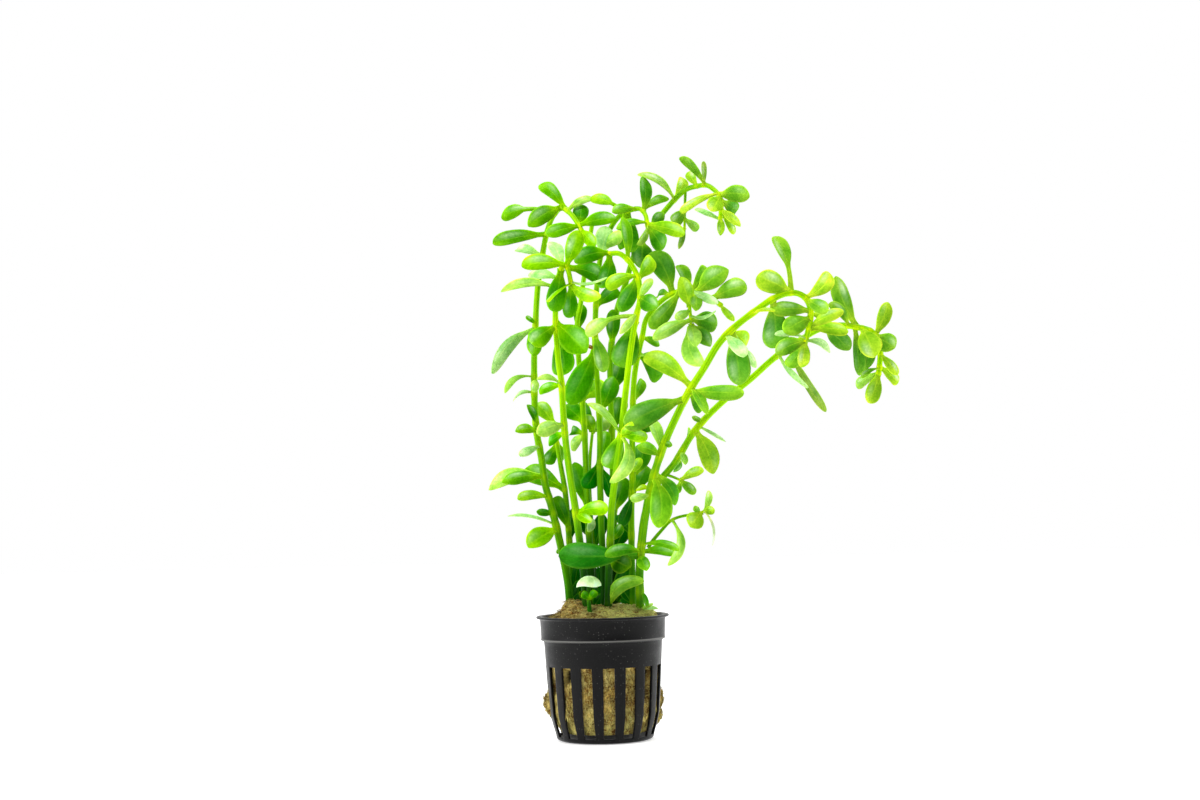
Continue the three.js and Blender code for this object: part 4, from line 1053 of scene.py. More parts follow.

# The leaf gives off a painted glow of its own colour, set as emission.
leaf_skin, tree, shader = new_material(
    "leaf skin", Roughness=0.4, Coat_Roughness=0.25, Specular_IOR_Level=0.0,
    Emission_Strength=0.16)
spot = object_place(tree)
tone = read_point(tree, "tone", "Color")
along, across = read_point(tree, "along"), read_point(tree, "across")
patch = mottled(tree, spot, size=0.005, contrast=0.65)
cells = mottled(tree, spot, size=0.0008, contrast=0.8)
lines = use_group(tree, veins, Along=along, Across=across, Rib_Width=0.13)
colour = blend(tree, patch, tint(tree, tone, DARK_PATCH), tint(tree, tone, LIGHT_PATCH))
# Painted shade: the middle of the blade, away from stalk and tip, is darkened.
heart_shade = times(tree, smooth_range(tree, along, 0.12, 0.45), smooth_range(tree, along, 0.98, 0.55))
colour = layer(tree, colour, heart_shade, 0.65, tint(tree, colour, HEART_SHADE_TINT))
colour = layer(tree, colour, cells, 0.4, tint(tree, colour, CELL_TINT))
pale_line = blend(tree, 0.09, tint(tree, colour, LINE_TINT), PALE_LINE)
# Painted light on the margin: the thin edge is lightened where light passes through it.
margin = smooth_range(tree, maths(tree, "ABSOLUTE", across), 0.74, 1.0)
for mask, share in ((lines["Rib"], 0.45), (lines["Side"], 0.12), (margin, 0.7)):
    colour = layer(tree, colour, mask, share, pale_line)
colour = blend(tree, 1.0, colour, PALEST, "DARKEN")
height = maths(tree, "MULTIPLY_ADD", patch, 0.5, lines["Height"])
height = maths(tree, "MULTIPLY_ADD", cells, 0.3, height)
plug(tree, shader, {
    "Base Color": colour, "Emission Color": colour,
    "Roughness": smooth_range(tree, patch, 0.0, 1.0, 0.28, 0.46),
    "Coat Weight": smooth_range(tree, patch, 0.5, 1.0, 0.0, 0.06),
    "Normal": bumps(tree, height, 0.5, 0.0003)})
print("leaf finish:", len(tree.nodes), "nodes")

# %% Stem finish
DARK_STREAK, LIGHT_STREAK = (0.36, 0.6, 0.4), (1.5, 1.2, 1.4)

# The stem gives off a painted glow of its own colour, set as emission.
stem_skin, tree, shader = new_material(
    "stem skin", Roughness=0.4, Coat_Roughness=0.25, Specular_IOR_Level=0.03,
    Emission_Strength=0.12)
tone = read_point(tree, "tone", "Color")
patch = mottled(tree, object_place(tree), size=0.004, contrast=0.45)
along = times(tree, read_point(tree, "along"), 2.0)
line = wire(tree, "CombineXYZ", {0: read_point(tree, "across"), 1: along}).outputs[0]
streaks = smooth_range(tree, noise_at(tree, line, 1.6, 2.0), 0.36, 0.62)
both = maths(tree, "MULTIPLY_ADD", streaks, 0.5, times(tree, patch, 0.5))
colour = blend(tree, both, tint(tree, tone, DARK_STREAK), tint(tree, tone, LIGHT_STREAK))
height = maths(tree, "MULTIPLY_ADD", streaks, 0.6, patch)
plug(tree, shader, {
    "Base Color": colour, "Emission Color": colour,
    "Roughness": smooth_range(tree, patch, 0.0, 1.0, 0.26, 0.46),
    "Coat Weight": smooth_range(tree, streaks, 0.0, 1.0, 0.04, 0.0),
    "Normal": bumps(tree, height, 0.35, 0.0002)})
print("stem finish:", len(tree.nodes), "nodes")

# %% [markdown]
# ## Grow the shoots
#
# Each shoot is one plant stem with its leaves, so it is one object, and it
# stands for one solid of the frame. A leaf that starts nearer to a twig
# than to the main stem grows from the twig. A few small leaves, two shreds
# and a rusty bud scale are left out of the solids, which stay simple, and
# only this lesson has them.

# %% Grow
DEPTH_SHADE = 0.016
TWIG_HANDICAP = 0.3
SMALL_EXTRAS = {
    "left_back_shoot": [([-11, 52.5, -8.6, 61.5, 5, -3, 10], "deep"),
                        ([-11.6, 60, -6.5, 68.5, 6, 3, 20], "deep"),
                        ([-11, 51, -8, 56.5, 4.5, -3, 10], "deep")],
    "centre_shoot": [([-0.8, 153.2, -4.7, 154.2, 1.5, -2, 10], "rust")],
    "middle_shoot": [([-4.6, 80, -2.9, 85.5, 3.2, -5, 10], "mint"),
                     ([-3.3, 52, -0.8, 61.5, 4.5, -3, 10], "deep"),
                     ([-3.2, 50.5, 0, 56, 4.5, -3, 10], "deep"),
                     ([-3.9, 59, -6.2, 69.5, 5.5, 3, 10], "deep"),
                     ([-3.4, 54, -7.4, 60, 4.5, 3, 20], "deep")],
    "thin_middle_shoot": [([-2.6, 53, -8.5, 57.5, 5, 4, 20], "deep")],
    "back_shoot": [([5.1, 51.5, 10.5, 56.5, 6, 2, 10], "deep"),
                   ([5.1, 54, 2, 64, 6, 4, 10], "deep"), ([5.1, 60, 10.5, 70, 7, 3, 10], "deep")],
    "right_upper_shoot": [([14.8, 50.6, 21.8, 49.8, 2.4, -3, 50], "mint"),
                          ([14.8, 50.2, 20, 51.8, 1.8, -4, 30], "pale")],
    "right_middle_shoot": [([12, 51.5, 8.2, 57.5, 4.5, 2, 10], "deep"),
                           ([12, 50.6, 7.8, 54.6, 4.5, 2, 10], "deep")],
}


def grow(name, shoot):
    """One shoot: its leaves, then its stem and twigs. Returns the leaves' number."""
    dice = random.Random(name)
    body = new_body()
    routes = [shoot["route"]] + shoot.get("twigs", [])
    joints = [[] for _ in routes]
    leaves = list(zip(shoot["leaves"], shoot["tones"].split())) + SMALL_EXTRAS.get(name, [])
    for row, word in leaves:
        found = [nearest_share(route, row[0], row[1]) for route in routes]
        pick = min(range(len(routes)), key=lambda i: found[i][1] + TWIG_HANDICAP * (i > 0))
        share, _, base = found[pick]
        joints[pick].append(share)
        shade = 1 - DEPTH_SHADE * max(0.0, base[1])
        # Painted bunch shade, except on tones that already hold shade.
        if word not in SPARED_BUNCH_SHADE:
            shade *= bunch_shade(base)
        add_leaf(body, base, row, word, dice, shade)
    for number, route in enumerate(routes):
        radii = TWIG_RADII if number else shoot["radii"]
        add_stem(body, route, radii, joints[number], shoot["light"])
    make_piece(name + "_grown", body, [leaf_skin, stem_skin], [name])
    return len(leaves)


leaf_total = sum(grow(name, shoot) for name, shoot in SHOOTS.items())
print(len(SHOOTS), "shoots with", leaf_total, "leaves")

# %% [markdown]
# ## Net pot
#
# The pot is one thin moulding: a flat base, a wall with sixteen upright
# slots, a plain band that stands a little proud, and a turned-out lip. Its
# grid of points goes from the middle of the base up the outside, over the
# lip and down the inside. Around it, columns follow the sides of the slots,
# so each slot is left out of the grid cleanly, and short faces close the
# wall's thickness around it. A bevel then rounds every moulded edge.

# %% Net pot measures
POT_SLOTS = 16
SLOT_PITCH = 2 * math.pi / POT_SLOTS
FIRST_SLOT = math.radians(5.0)
SLOT_HALF = 2.2
SLOT_FOOT, SLOT_TOP = 1.8, 28.8
SLOT_ROWS = 22
SLOT_COLUMNS, RIB_COLUMNS = 4, 5
COLUMNS = SLOT_COLUMNS + RIB_COLUMNS
EVEN_BELOW = 17.0
WALL = 1.0
EDGE, SHARP_ANGLE = 0.16, math.radians(55)
SKIRT = [(18.9, 1.0), (19.3, 2.6), (20.35, 6.0), (21.3, 10.0), (21.95, 18.0),
         (22.55, 28.0), (23.15, 38.0)]
BELOW_SLOTS = [(3.0, 0.3), (9.0, 0.3), (14.0, 0.3), (14.7, 0.0), (17.7, 0.0), (18.35, 0.25),
               (18.75, 0.65), (18.95, 1.15)]
ABOVE_SLOTS = [(22.68, 30.5), (22.85, 33.5), (23.02, 36.5), (23.14, 38.2), (23.3, 38.42),
               (23.8, 38.5), (24.1, 38.6), (24.34, 38.8), (24.36, 39.05), (24.2, 39.4), (24.32, 42.5),
               (24.45, 45.8), (24.56, 46.6), (24.85, 46.95), (25.6, 47.06), (25.9, 47.22),
               (26.0, 47.5), (25.9, 47.78), (25.6, 47.95), (24.6, 47.98), (23.9, 47.85),
               (23.55, 47.5), (23.45, 46.0), (23.3, 42.5), (23.1, 39.8), (22.4, 38.0),
               (22.05, 36.0), (21.85, 33.0), (21.66, 30.4)]
INSIDE_FLOOR = [(18.0, 1.35), (17.3, 1.2), (9.0, 1.2), (3.0, 1.2)]


def radius_on(outline, height):
    """Radius of an outline, a list of radius and height, at a height."""
    radii, heights = zip(*outline)
    return float(np.interp(height, heights, radii))


print("the slots are", SLOT_TOP - SLOT_FOOT, "mm high")

# %% Net pot


def pot_rows():
    """Radius and height of each ring, and where the slotted rows begin."""
    heights = np.linspace(SLOT_FOOT, SLOT_TOP, SLOT_ROWS)
    rows = BELOW_SLOTS + [(radius_on(SKIRT, z), z) for z in heights] + ABOVE_SLOTS
    inner = len(rows)
    rows += [(radius_on(SKIRT, z) - WALL, z) for z in heights[::-1]]
    return rows + INSIDE_FLOOR, len(BELOW_SLOTS), inner


def column_angles(radius):
    """Angles of the columns: four over each slot, then five over each rib."""
    half = math.asin(SLOT_HALF / max(radius, EVEN_BELOW))
    over_slot = [half * (2 * i / SLOT_COLUMNS - 1) for i in range(SLOT_COLUMNS)]
    over_rib = [half + (SLOT_PITCH - 2 * half) * i / RIB_COLUMNS for i in range(RIB_COLUMNS)]
    return [FIRST_SLOT + slot * SLOT_PITCH + a
            for slot in range(POT_SLOTS) for a in over_slot + over_rib]


def net_pot():
    """Points and faces of the whole moulding."""
    rows, outer, inner = pot_rows()
    across = POT_SLOTS * COLUMNS
    last = SLOT_ROWS - 1
    points = [(radius * math.sin(a), -radius * math.cos(a), height)
              for radius, height in rows for a in column_angles(radius)]
    faces = []

    def at(row, column):
        return row * across + column % across

    def add_face(row, column, next_row, next_column):
        faces.append((at(row, column), at(row, next_column),
                      at(next_row, next_column), at(next_row, column)))

    for row in range(len(rows) - 1):
        slotted = outer <= row < outer + last or inner <= row < inner + last
        for column in range(across):
            if not (slotted and column % COLUMNS < SLOT_COLUMNS):
                add_face(row, column, row + 1, column + 1)
    for left in range(0, across, COLUMNS):
        right = left + SLOT_COLUMNS
        for i in range(last):
            a, b = outer + i, inner + last - i
            for column in (left, right):
                faces.append((at(a, column), at(a + 1, column), at(b - 1, column), at(b, column)))
        for column in range(left, right):
            add_face(outer, column, inner + last, column + 1)
            add_face(outer + last, column, inner, column + 1)
    for row, height in ((0, rows[0][1]), (len(rows) - 1, rows[-1][1])):
        points.append((0.0, 0.0, height))
        faces += [(at(row, c), at(row, c + 1), len(points) - 1) for c in range(across)]
    return points, faces


pot_mesh = bpy.data.meshes.new("net_pot_moulding")
points, faces = net_pot()
pot_mesh.from_pydata((np.array(points) * MM).tolist(), [], faces)
open_edges = face_outward(pot_mesh)
pot = add_object("net_pot_moulding", pot_mesh)
rounding = pot.modifiers.new("rounded edges", "BEVEL")
rounding.width = EDGE * MM
rounding.segments = 2
rounding.limit_method = "ANGLE"
rounding.angle_limit = SHARP_ANGLE
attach(pot, BODY)
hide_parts("net_pot")
print("net pot:", len(faces), "faces,", open_edges, "open edges")

# %% [markdown]
# ## Pot plastic
#
# The pot is recycled black plastic: almost black, half matt, with fine pale
# grains in it and a faint moulded grain on its skin. Specks give the
# grains, in two sizes, and mottle changes the gloss from place to place.
# The bead under the band gets a painted highlight, a light grey line: it grows between two heights
# and is gone between two others.

# %% Pot finish
# Painted highlight on the bead: where it grows and where it is gone, as heights.
BEAD_HIGHLIGHT_GROWS, BEAD_HIGHLIGHT_GONE = (0.0386, 0.0390), (0.0395, 0.0391)
BLACK, NEAR_BLACK = linear(1, 1, 2), linear(7, 7, 7)
GRAIN_TONE, PALE_GRAIN_TONE = linear(110, 110, 106), linear(150, 150, 144)
BEAD_HIGHLIGHT_TONE = linear(118, 118, 114)

pot_plastic, tree, shader = new_material(
    "pot plastic", Roughness=0.45, Specular_IOR_Level=0.14,
    Sheen_Weight=0.36, Sheen_Roughness=0.3)
spot = object_place(tree)
small = use_group(tree, specks, Place=spot, Spacing=0.0004, Share=0.5)["Mask"]
large = use_group(tree, specks, Place=spot, Spacing=0.0009, Share=0.25)["Mask"]
patch = mottled(tree, spot, size=0.005, contrast=0.5)
level = wire(tree, "SeparateXYZ", {0: spot}).outputs["Z"]
# Painted highlight: a light grey line along the bead under the band.
bead_highlight = times(tree, smooth_range(tree, level, *BEAD_HIGHLIGHT_GROWS), smooth_range(tree, level, *BEAD_HIGHLIGHT_GONE))
colour = blend(tree, patch, BLACK, NEAR_BLACK)
colour = layer(tree, colour, small, 0.08, GRAIN_TONE)
colour = layer(tree, colour, large, 0.14, PALE_GRAIN_TONE)
colour = layer(tree, colour, bead_highlight, 0.7, BEAD_HIGHLIGHT_TONE)
height = maths(tree, "MULTIPLY_ADD", small, 0.4, noise_at(tree, spot, 2600.0, 2.0))
plug(tree, shader, {
    "Base Color": colour, "Roughness": smooth_range(tree, patch, 0.0, 1.0, 0.4, 0.58),
    "Normal": bumps(tree, height, 0.3, 0.0001)})
pot_mesh.materials.append(pot_plastic)
print("pot finish:", len(tree.nodes), "nodes")

# %% [markdown]
# ## Rock wool
#
# Rock wool is a plug of fine mineral threads, packed into the pot and
# pushed out a little through the slots. It is made in two pieces: a lumpy
# core that fills the solid's place, dented where the photograph shows dark
# hollows, and loose threads that lie over it and stand up from the heap.
#
# A lump is its x, depth, height and spread. A tuft or a hollow is the
# number of its slot, the height of its middle, its reach up and down, and
# how far it stands out or in.

# %% Wool measures
WOOL_FOOT, WOOL_BRIM = 3.2, 45.0
WOOL_FLOOR = [(5.0, 3.2), (10.0, 3.2), (14.0, 3.2)]
WOOL_SIDE = [(16.9, 3.2), (20.0, 10.0), (21.8, 37.2), (22.5, 45.0)]
WOOL_HEAP = [(22.5, 45.0), (20.2, 47.2), (17.0, 48.6), (12.5, 49.8), (0.0, 50.0)]
LUMPS = [(-12, -5, 3.0, 3.3), (-6, -11, 1.6, 5), (4, -8, 1.2, 6), (13, -2, 0.8, 6),
         (-9, 9, 1.5, 6), (8, 10, 1, 6), (19, -4, 2.0, 2.6), (-14.4, -6, 1.7, 1.7),
         (-19, -7, -2.4, 2.2), (-9.5, -8, 1.2, 2.2)]
TUFTS = [(12, 14.0, 4.8, 3.4), (4, 7.2, 2.9, 3.3), (4, 15.2, 4.0, 2.8), (14, 10.5, 3.0, 1.2),
         (1, 8.5, 3.0, 1.0)]
HOLLOWS = [(13, 21.5, 3.2, 3.5), (14, 25.5, 2.6, 3.5), (2, 22.0, 7.5, 2.6), (3, 21.5, 6.5, 3.0),
           (5, 20.0, 6.0, 2.0)]
BULGE, BULGE_TURN, DENT_TURN = 0.55, 5.4, 6.5
EVEN_BULGE, EVEN_TUFT, TUFT_CRUMBS = 0.6, 0.85, 0.5
SWAY_PER_MM, CRUMBS_PER_MM = 0.32, 1.1
SIDE_CRUMBS, HEAP_CRUMBS, HEAP_SWAY = 0.22, 0.7, 0.9
DAMP_FOOT, DAMPNESS_AT_FOOT = 11.0, 0.4
HEAP_DAMPNESS, DAMPER_RIGHT, DAMPER_FRONT = 0.3, 1 / 18, 1 / 60
ROW_STEP, HEAP_STEP, BELOW_BRIM = 0.55, 0.65, 0.3
WOOL_COLUMNS = 192
WOOL_TONE, DAMP_TONE = linear(170, 154, 62), linear(234, 240, 150)
print("the heap stands", WOOL_HEAP[-1][1] - WOOL_BRIM, "mm over the brim")

# %% Wool core


def around(radius, angle):
    """x and depth at an angle round the pot's axis, 0 at the front."""
    return radius * math.sin(angle), -radius * math.cos(angle)


def slot_offset(angle):
    """Number of the slot nearest to a direction, and how far off, in degrees."""
    number = round((angle - FIRST_SLOT) / SLOT_PITCH)
    return number % POT_SLOTS, math.degrees(angle - FIRST_SLOT - number * SLOT_PITCH)


def rough_at(radius, angle, height, per_mm):
    return noise.noise((radius * math.sin(angle) * per_mm, radius * math.cos(angle) * per_mm,
                        height * per_mm))


def wool_point(radius, height, angle):
    """A point of the wool's skin, with how hollow and how damp it is."""
    number, off = slot_offset(angle)
    sway = rough_at(radius, angle, height, SWAY_PER_MM)
    crumb = rough_at(radius, angle, height, CRUMBS_PER_MM)
    if height >= WOOL_BRIM:
        x, y = around(radius, angle)
        height += sum(high * math.exp(-((x - at_x) ** 2 + (y - at_y) ** 2) / (2 * spread ** 2))
                      for at_x, at_y, high, spread in LUMPS)
        height += HEAP_SWAY * sway + HEAP_CRUMBS * crumb
        damp = clamp(HEAP_DAMPNESS + x * DAMPER_RIGHT - y * DAMPER_FRONT)
        damp = damp if height >= WOOL_BRIM else 0.0
        return (x, y, height), 0.0, damp
    in_slot = math.exp(-(off / BULGE_TURN) ** 4)
    radius += in_slot * BULGE * (EVEN_BULGE + sway)
    for slot, middle, reach, out in TUFTS:
        if slot == number:
            tuft = math.exp(-((height - middle) / reach) ** 2)
            radius += in_slot * out * tuft * (EVEN_TUFT + TUFT_CRUMBS * crumb)
    hollow = 0.0
    for slot, middle, reach, depth in HOLLOWS:
        if slot == number:
            dent = math.exp(-((height - middle) / reach) ** 4 - (off / DENT_TURN) ** 4)
            radius -= dent * depth
            hollow = max(hollow, dent)
    radius += SIDE_CRUMBS * crumb
    damp = DAMPNESS_AT_FOOT * max(0.0, 1 - (height - WOOL_FOOT) / DAMP_FOOT)
    return (*around(radius, angle), height), hollow, damp


def wool_rows():
    """Radius and height of each ring, from the foot up and over the heap."""
    heights = np.arange(WOOL_FOOT, WOOL_BRIM - BELOW_BRIM, ROW_STEP)
    rows = WOOL_FLOOR + [(radius_on(WOOL_SIDE, z), float(z)) for z in heights]
    for (r0, z0), (r1, z1) in zip(WOOL_HEAP, WOOL_HEAP[1:]):
        steps = max(3, int(math.hypot(r1 - r0, z1 - z0) / HEAP_STEP))
        rows += [(r0 + (r1 - r0) * i / steps, z0 + (z1 - z0) * i / steps) for i in range(steps)]
    return rows


turns = [2 * math.pi * i / WOOL_COLUMNS for i in range(WOOL_COLUMNS)]
skin = [[wool_point(radius, height, turn) for turn in turns] for radius, height in wool_rows()]
rings, hollow, damp = (np.array([[point[part] for point in row] for row in skin])
                       for part in range(3))
tips = np.array([[0.0, 0.0, WOOL_FOOT], [0.0, 0.0, rings[-1, :, 2].mean()]])
moss = (damp * (rings[..., 2] > WOOL_BRIM))[..., None]
wool = new_body()
add_skin(wool, rings, tips, 0, mixed(WOOL_TONE, DAMP_TONE, moss), hollow, damp)
print("wool core:", len(wool["faces"]), "faces")

# %% Wool threads
HEAP_THREADS, SLOT_THREADS, TUFT_THREADS = 2200, 1800, 500
THREAD_RADIUS = 0.085
THREAD_TONES = [linear(*screen) for screen in (
    (200, 182, 88), (172, 152, 58), (134, 110, 30), (92, 72, 18), (220, 210, 124))]
ALGAE_TONE = linear(228, 234, 138)
THREAD_RINGS, THREAD_CORNERS = (0.0, 0.33, 0.67, 1.0), (0.0, 2.1, 4.2)
THREAD_BEND, THREAD_ARCH, THREAD_TAPER, LIE_FLAT = 0.16, 0.12, 0.4, 0.6
ALGAE_CHANCE, ALGAE_SHARE = 0.9, 0.75
HEAP_REACH, HEAP_LENGTHS, HEAP_TILTS, HEAP_SLOPE = 20.5, (1.6, 4.6), (-0.25, 0.45), 0.15
SLOT_MIDDLE, SLOT_REACH = 16.5, 11.5
SLOT_LIFTS, TUFT_LIFTS, TUFT_SPREAD = (-0.1, 0.15), (-0.1, 0.9), 1.1
SLOT_TURNS, SLOT_TILTS, SLOT_LENGTHS = (-3.6, 3.6), (-0.55, 0.55), (1.0, 2.6)
THREAD_FLOOR, THREAD_CEILING = 5.6, 27.6
THREAD_SIDE = [(17.4, 4.8), (20.0, 10.0), (21.8, 37.2)]
HOLLOW_FROM, HOLLOW_BARE = 0.4, 0.75


def add_thread(body, start, heading, out, length, dice, damp):
    """A thin curved thread of four rings of three points."""
    bend = np.array([dice.gauss(0, 1) for _ in range(3)])
    bend = bend - out * bend.dot(out) * LIE_FLAT
    beside = unit(np.cross(heading, out))
    corners = np.array([math.cos(a) * beside + math.sin(a) * out for a in THREAD_CORNERS])
    rings = []
    for share in THREAD_RINGS:
        off_middle = 2 * share - 1
        centre = start + length * (heading * (share - 0.5) + bend * THREAD_BEND * off_middle ** 2
                                   + out * THREAD_ARCH * (1 - off_middle ** 2))
        rings.append(centre + THREAD_RADIUS * (1 - THREAD_TAPER * abs(off_middle)) * corners)
    tips = np.array([rings[0].mean(axis=0), rings[-1].mean(axis=0)])
    tone = dice.choice(THREAD_TONES)
    if dice.random() < damp * ALGAE_CHANCE:
        tone = mixed(tone, ALGAE_TONE, ALGAE_SHARE)
    add_skin(body, np.array(rings), tips, 0, tone, 0.0, damp)


def heap_thread(body, dice):
    """One thread that lies on the heap, any way round."""
    angle, radius = dice.uniform(0, 2 * math.pi), HEAP_REACH * math.sqrt(dice.random())
    radii, heights = zip(*WOOL_HEAP[:0:-1])
    point, _, damp = wool_point(radius, float(np.interp(radius, radii, heights)), angle)
    tilt = dice.uniform(0, 2 * math.pi)
    heading = unit(np.array([math.cos(tilt), math.sin(tilt), dice.uniform(*HEAP_TILTS)]))
    out = unit(np.array([*around(HEAP_SLOPE, angle), 1.0]))
    add_thread(body, np.array(point), heading, out, dice.uniform(*HEAP_LENGTHS), dice, damp)


def side_thread(body, dice, slot, middle, reach, lifts):
    """One upright thread in a slot, left out of most hollow places."""
    angle = FIRST_SLOT + slot * SLOT_PITCH + math.radians(dice.uniform(*SLOT_TURNS))
    height = dice.uniform(middle - reach, middle + reach)
    height = min(THREAD_CEILING, max(THREAD_FLOOR, height))
    point, hollow, damp = wool_point(radius_on(THREAD_SIDE, height), height, angle)
    if hollow > HOLLOW_FROM and dice.random() < HOLLOW_BARE:
        return
    out = np.array([*around(1.0, angle), 0.0])
    beside = np.array([math.cos(angle), math.sin(angle), 0.0])
    heading = unit(beside * dice.uniform(*SLOT_TILTS) + np.array([0, 0, 1.0])
                   + out * dice.uniform(*lifts))
    add_thread(body, np.array(point), heading, out, dice.uniform(*SLOT_LENGTHS), dice, damp)


threads = new_body()
dice = random.Random(41)
for _ in range(HEAP_THREADS):
    heap_thread(threads, dice)
for _ in range(SLOT_THREADS):
    side_thread(threads, dice, dice.randrange(POT_SLOTS), SLOT_MIDDLE, SLOT_REACH, SLOT_LIFTS)
for _ in range(TUFT_THREADS):
    slot, middle, reach, _ = dice.choice(TUFTS)
    side_thread(threads, dice, slot, middle, reach * TUFT_SPREAD, TUFT_LIFTS)
print("wool threads:", len(threads["faces"]), "faces")

# %% [markdown]
# ## Wool finish
#
# The core is ochre and straw, brown where it is dense, and green where algae grow on damp wool; its
# hollows are painted nearly black, as painted shade. Its bump is fibrous: noise stretched in two
# directions, like threads that cross. The core keeps how hollow and how damp it is under the labels
# along and across.

# %% Wool finish
DENSE_TINT, OCHRE_TINT, CRUMB_TINT = (0.34, 0.22, 0.14), (1.2, 0.84, 0.42), (0.42, 0.36, 0.3)
STRAW, PALE_FIBRE = linear(232, 214, 134), linear(228, 212, 128)
MOSS_TONE, HOLLOW_SHADE_TONE = linear(222, 228, 126), linear(18, 17, 10)

wool_felt, tree, shader = new_material("wool felt", Roughness=0.95, Specular_IOR_Level=0.2)
spot = object_place(tree)
tone = read_point(tree, "tone", "Color")
hollow, damp = read_point(tree, "along"), read_point(tree, "across")
coarse = mottled(tree, spot, size=0.0038, contrast=1.6)
rusty = mottled(tree, spot, size=0.006, contrast=1.4)
small = mottled(tree, spot, size=0.0009, contrast=1.1)
upright = wire(tree, "Mapping", {"Vector": spot, "Scale": (1.0, 1.0, 0.25)}).outputs[0]
level = wire(tree, "Mapping", {"Vector": spot, "Scale": (0.25, 0.4, 1.0),
                               "Rotation": (0.4, 0.5, 0.3)}).outputs[0]
fibre = maths(tree, "MAXIMUM", noise_at(tree, upright, 2600.0, 3.0),
              noise_at(tree, level, 2300.0, 3.0))
colour = blend(tree, coarse, tint(tree, tone, DENSE_TINT), blend(tree, 0.65, tone, STRAW))
colour = layer(tree, colour, rusty, 0.6, tint(tree, colour, OCHRE_TINT))
colour = layer(tree, colour, small, 0.6, tint(tree, colour, CRUMB_TINT))
colour = layer(tree, colour, smooth_range(tree, fibre, 0.52, 0.68), 0.55, PALE_FIBRE)
green = times(tree, damp, smooth_range(tree, coarse, 0.2, 0.6))
colour = layer(tree, colour, green, 0.85, MOSS_TONE)
# Painted shade: the hollows are laid over with a nearly black tone.
colour = blend(tree, smooth_range(tree, hollow, 0.15, 0.85, 0.0, 0.96), colour, HOLLOW_SHADE_TONE)
height = maths(tree, "ADD", fibre, times(tree, small, 0.7))
plug(tree, shader, {"Base Color": colour, "Normal": bumps(tree, height, 0.9, 0.0006)})
make_piece("rock_wool_core", wool, [wool_felt], ["rock_wool"])
print("wool finish:", len(tree.nodes), "nodes")

# %% Thread finish
THREAD_SHADOW = (0.55, 0.5, 0.4)

wool_thread, tree, shader = new_material("wool thread", Roughness=0.7)
tone = read_point(tree, "tone", "Color")
patch = mottled(tree, object_place(tree), size=0.003, contrast=0.8)
plug(tree, shader, {"Base Color": blend(tree, patch, tint(tree, tone, THREAD_SHADOW), tone)})
make_piece("rock_wool_threads", threads, [wool_thread])
print("thread finish:", len(tree.nodes), "nodes")

# %% [markdown]
# ## Curled leaf
#
# A pale leaf at the foot has folded over like a cap on its stalk. It is a
# thin shell, domed above and hollow below, with shallow folds that run down
# from its crown and a wavy rim. The rings go down the outside and back up
# the inside, so it has its real thickness. Two small dark leaves sit on its
# stalk, under the cap.

# %% Curled leaf
CAP_X, CAP_DEPTH, CAP_UNDERSIDE = -5.2, -15.5, 59.1
CAP_RADIUS, CAP_HEIGHT, CAP_THICK = 4.6, 4.1, 0.5
CAP_SIDES, CAP_FOLDS, RIM_WAVES = 40, 7, 3
FOLD_DEPTH, FOLD_TURN, OVALNESS, RIM_HEIGHT = 0.035, 0.6, 0.03, 0.25
FLATNESS = 0.75
CAP_SHARES = [0.08, 0.22, 0.38, 0.54, 0.68, 0.8, 0.9, 0.97, 1.0]
CAP_STALK_X = CAP_X + 0.3
CAP_STALK = [(CAP_STALK_X, 47, CAP_DEPTH), (CAP_STALK_X - 0.4, 55, CAP_DEPTH),
             (CAP_STALK_X - 0.1, 62, CAP_DEPTH)]
CAP_STALK_RADII, CAP_STALK_JOINTS, CAP_STALK_LIGHT = (0.9, 0.7), [0.5], 2.2
UNDER_CAP, UNDER_CAP_START = [(-2.3, 57.3), (-7.9, 56.6)], 54.4
UNDER_CAP_SHAPE, UNDER_CAP_SHADE = [3.2, -1, 10], 0.9


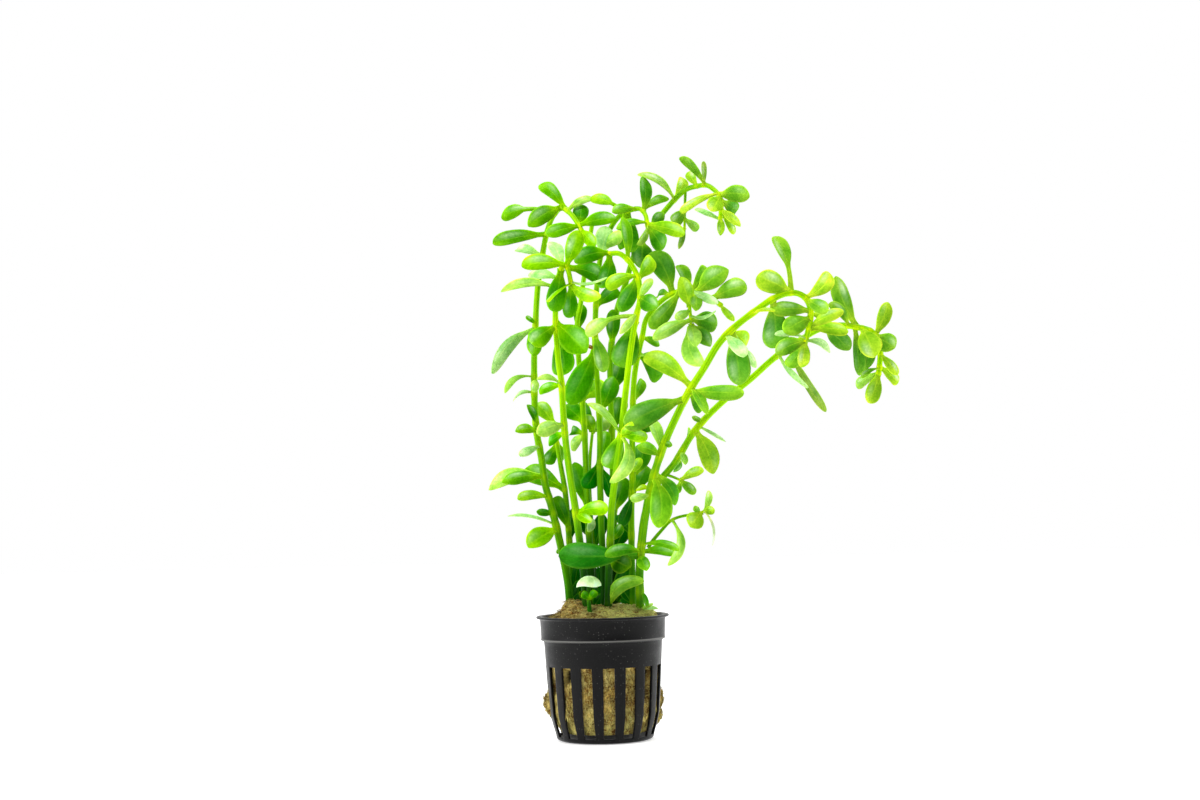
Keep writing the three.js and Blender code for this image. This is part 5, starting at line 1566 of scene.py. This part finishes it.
def cap_ring(share, inset, drop):
    """A ring of the cap, 0 at the crown and 1 at the rim."""
    middle = place(np.float64(CAP_X), CAP_DEPTH, np.float64(CAP_UNDERSIDE))
    tilt = math.pi / 2 * share
    ring = []
    for i in range(CAP_SIDES):
        turn = 2 * math.pi * i / CAP_SIDES
        fold = FOLD_DEPTH * share * math.cos(CAP_FOLDS * turn + FOLD_TURN)
        oval = OVALNESS * math.cos(2 * turn)
        out = CAP_RADIUS * math.sin(tilt) * (1 + fold + oval) - inset
        x, depth = out * math.cos(turn), FLATNESS * out * math.sin(turn)
        wave = RIM_HEIGHT * share * math.cos(RIM_WAVES * turn)
        ring.append(middle + (x, depth, (CAP_HEIGHT - drop) * math.cos(tilt) + wave))
    return ring


outside = [cap_ring(share, 0.0, 0.0) for share in CAP_SHARES]
inside = [cap_ring(share, CAP_THICK * share, CAP_THICK) for share in CAP_SHARES[::-1]]
rings = np.array(outside + inside)
tips = np.array([rings[0].mean(axis=0), rings[-1].mean(axis=0)])
tone = np.array([TONES["cream"]] * len(outside) + [TONES["green"]] * len(inside))[:, None, :]
down = np.array(CAP_SHARES + CAP_SHARES[::-1])[:, None]
across = np.abs((np.arange(CAP_SIDES) * CAP_FOLDS / CAP_SIDES) % 1 - 0.5) * 2
cap = new_body()
add_skin(cap, rings, tips, BLADE, tone, down, across[None, :])
add_stem(cap, CAP_STALK, CAP_STALK_RADII, CAP_STALK_JOINTS, CAP_STALK_LIGHT)
dice = random.Random(7)
start = (np.float64(CAP_STALK_X), CAP_DEPTH - 0.5, np.float64(UNDER_CAP_START))
for tip_x, tip_height in UNDER_CAP:
    row = [CAP_STALK_X, UNDER_CAP_START, tip_x, tip_height] + UNDER_CAP_SHAPE
    add_leaf(cap, start, row, "dark", dice, UNDER_CAP_SHADE)
make_piece("curled_leaf_cap", cap, [leaf_skin, stem_skin], ["curled_leaf"])
print("curled leaf:", len(cap["faces"]), "faces")

# %% [markdown]
# ## Size
#
# The boxes of the solids and of the dressed part are printed side by side, so that their sizes can be
# compared.

# %% Size and finish
visual_box = [list(corner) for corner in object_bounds()]
for label, box in (("solids", cad_box), ("dressed", visual_box)):
    print(label, [round((b - a) * 1000, 1) for a, b in zip(*box)], "mm")
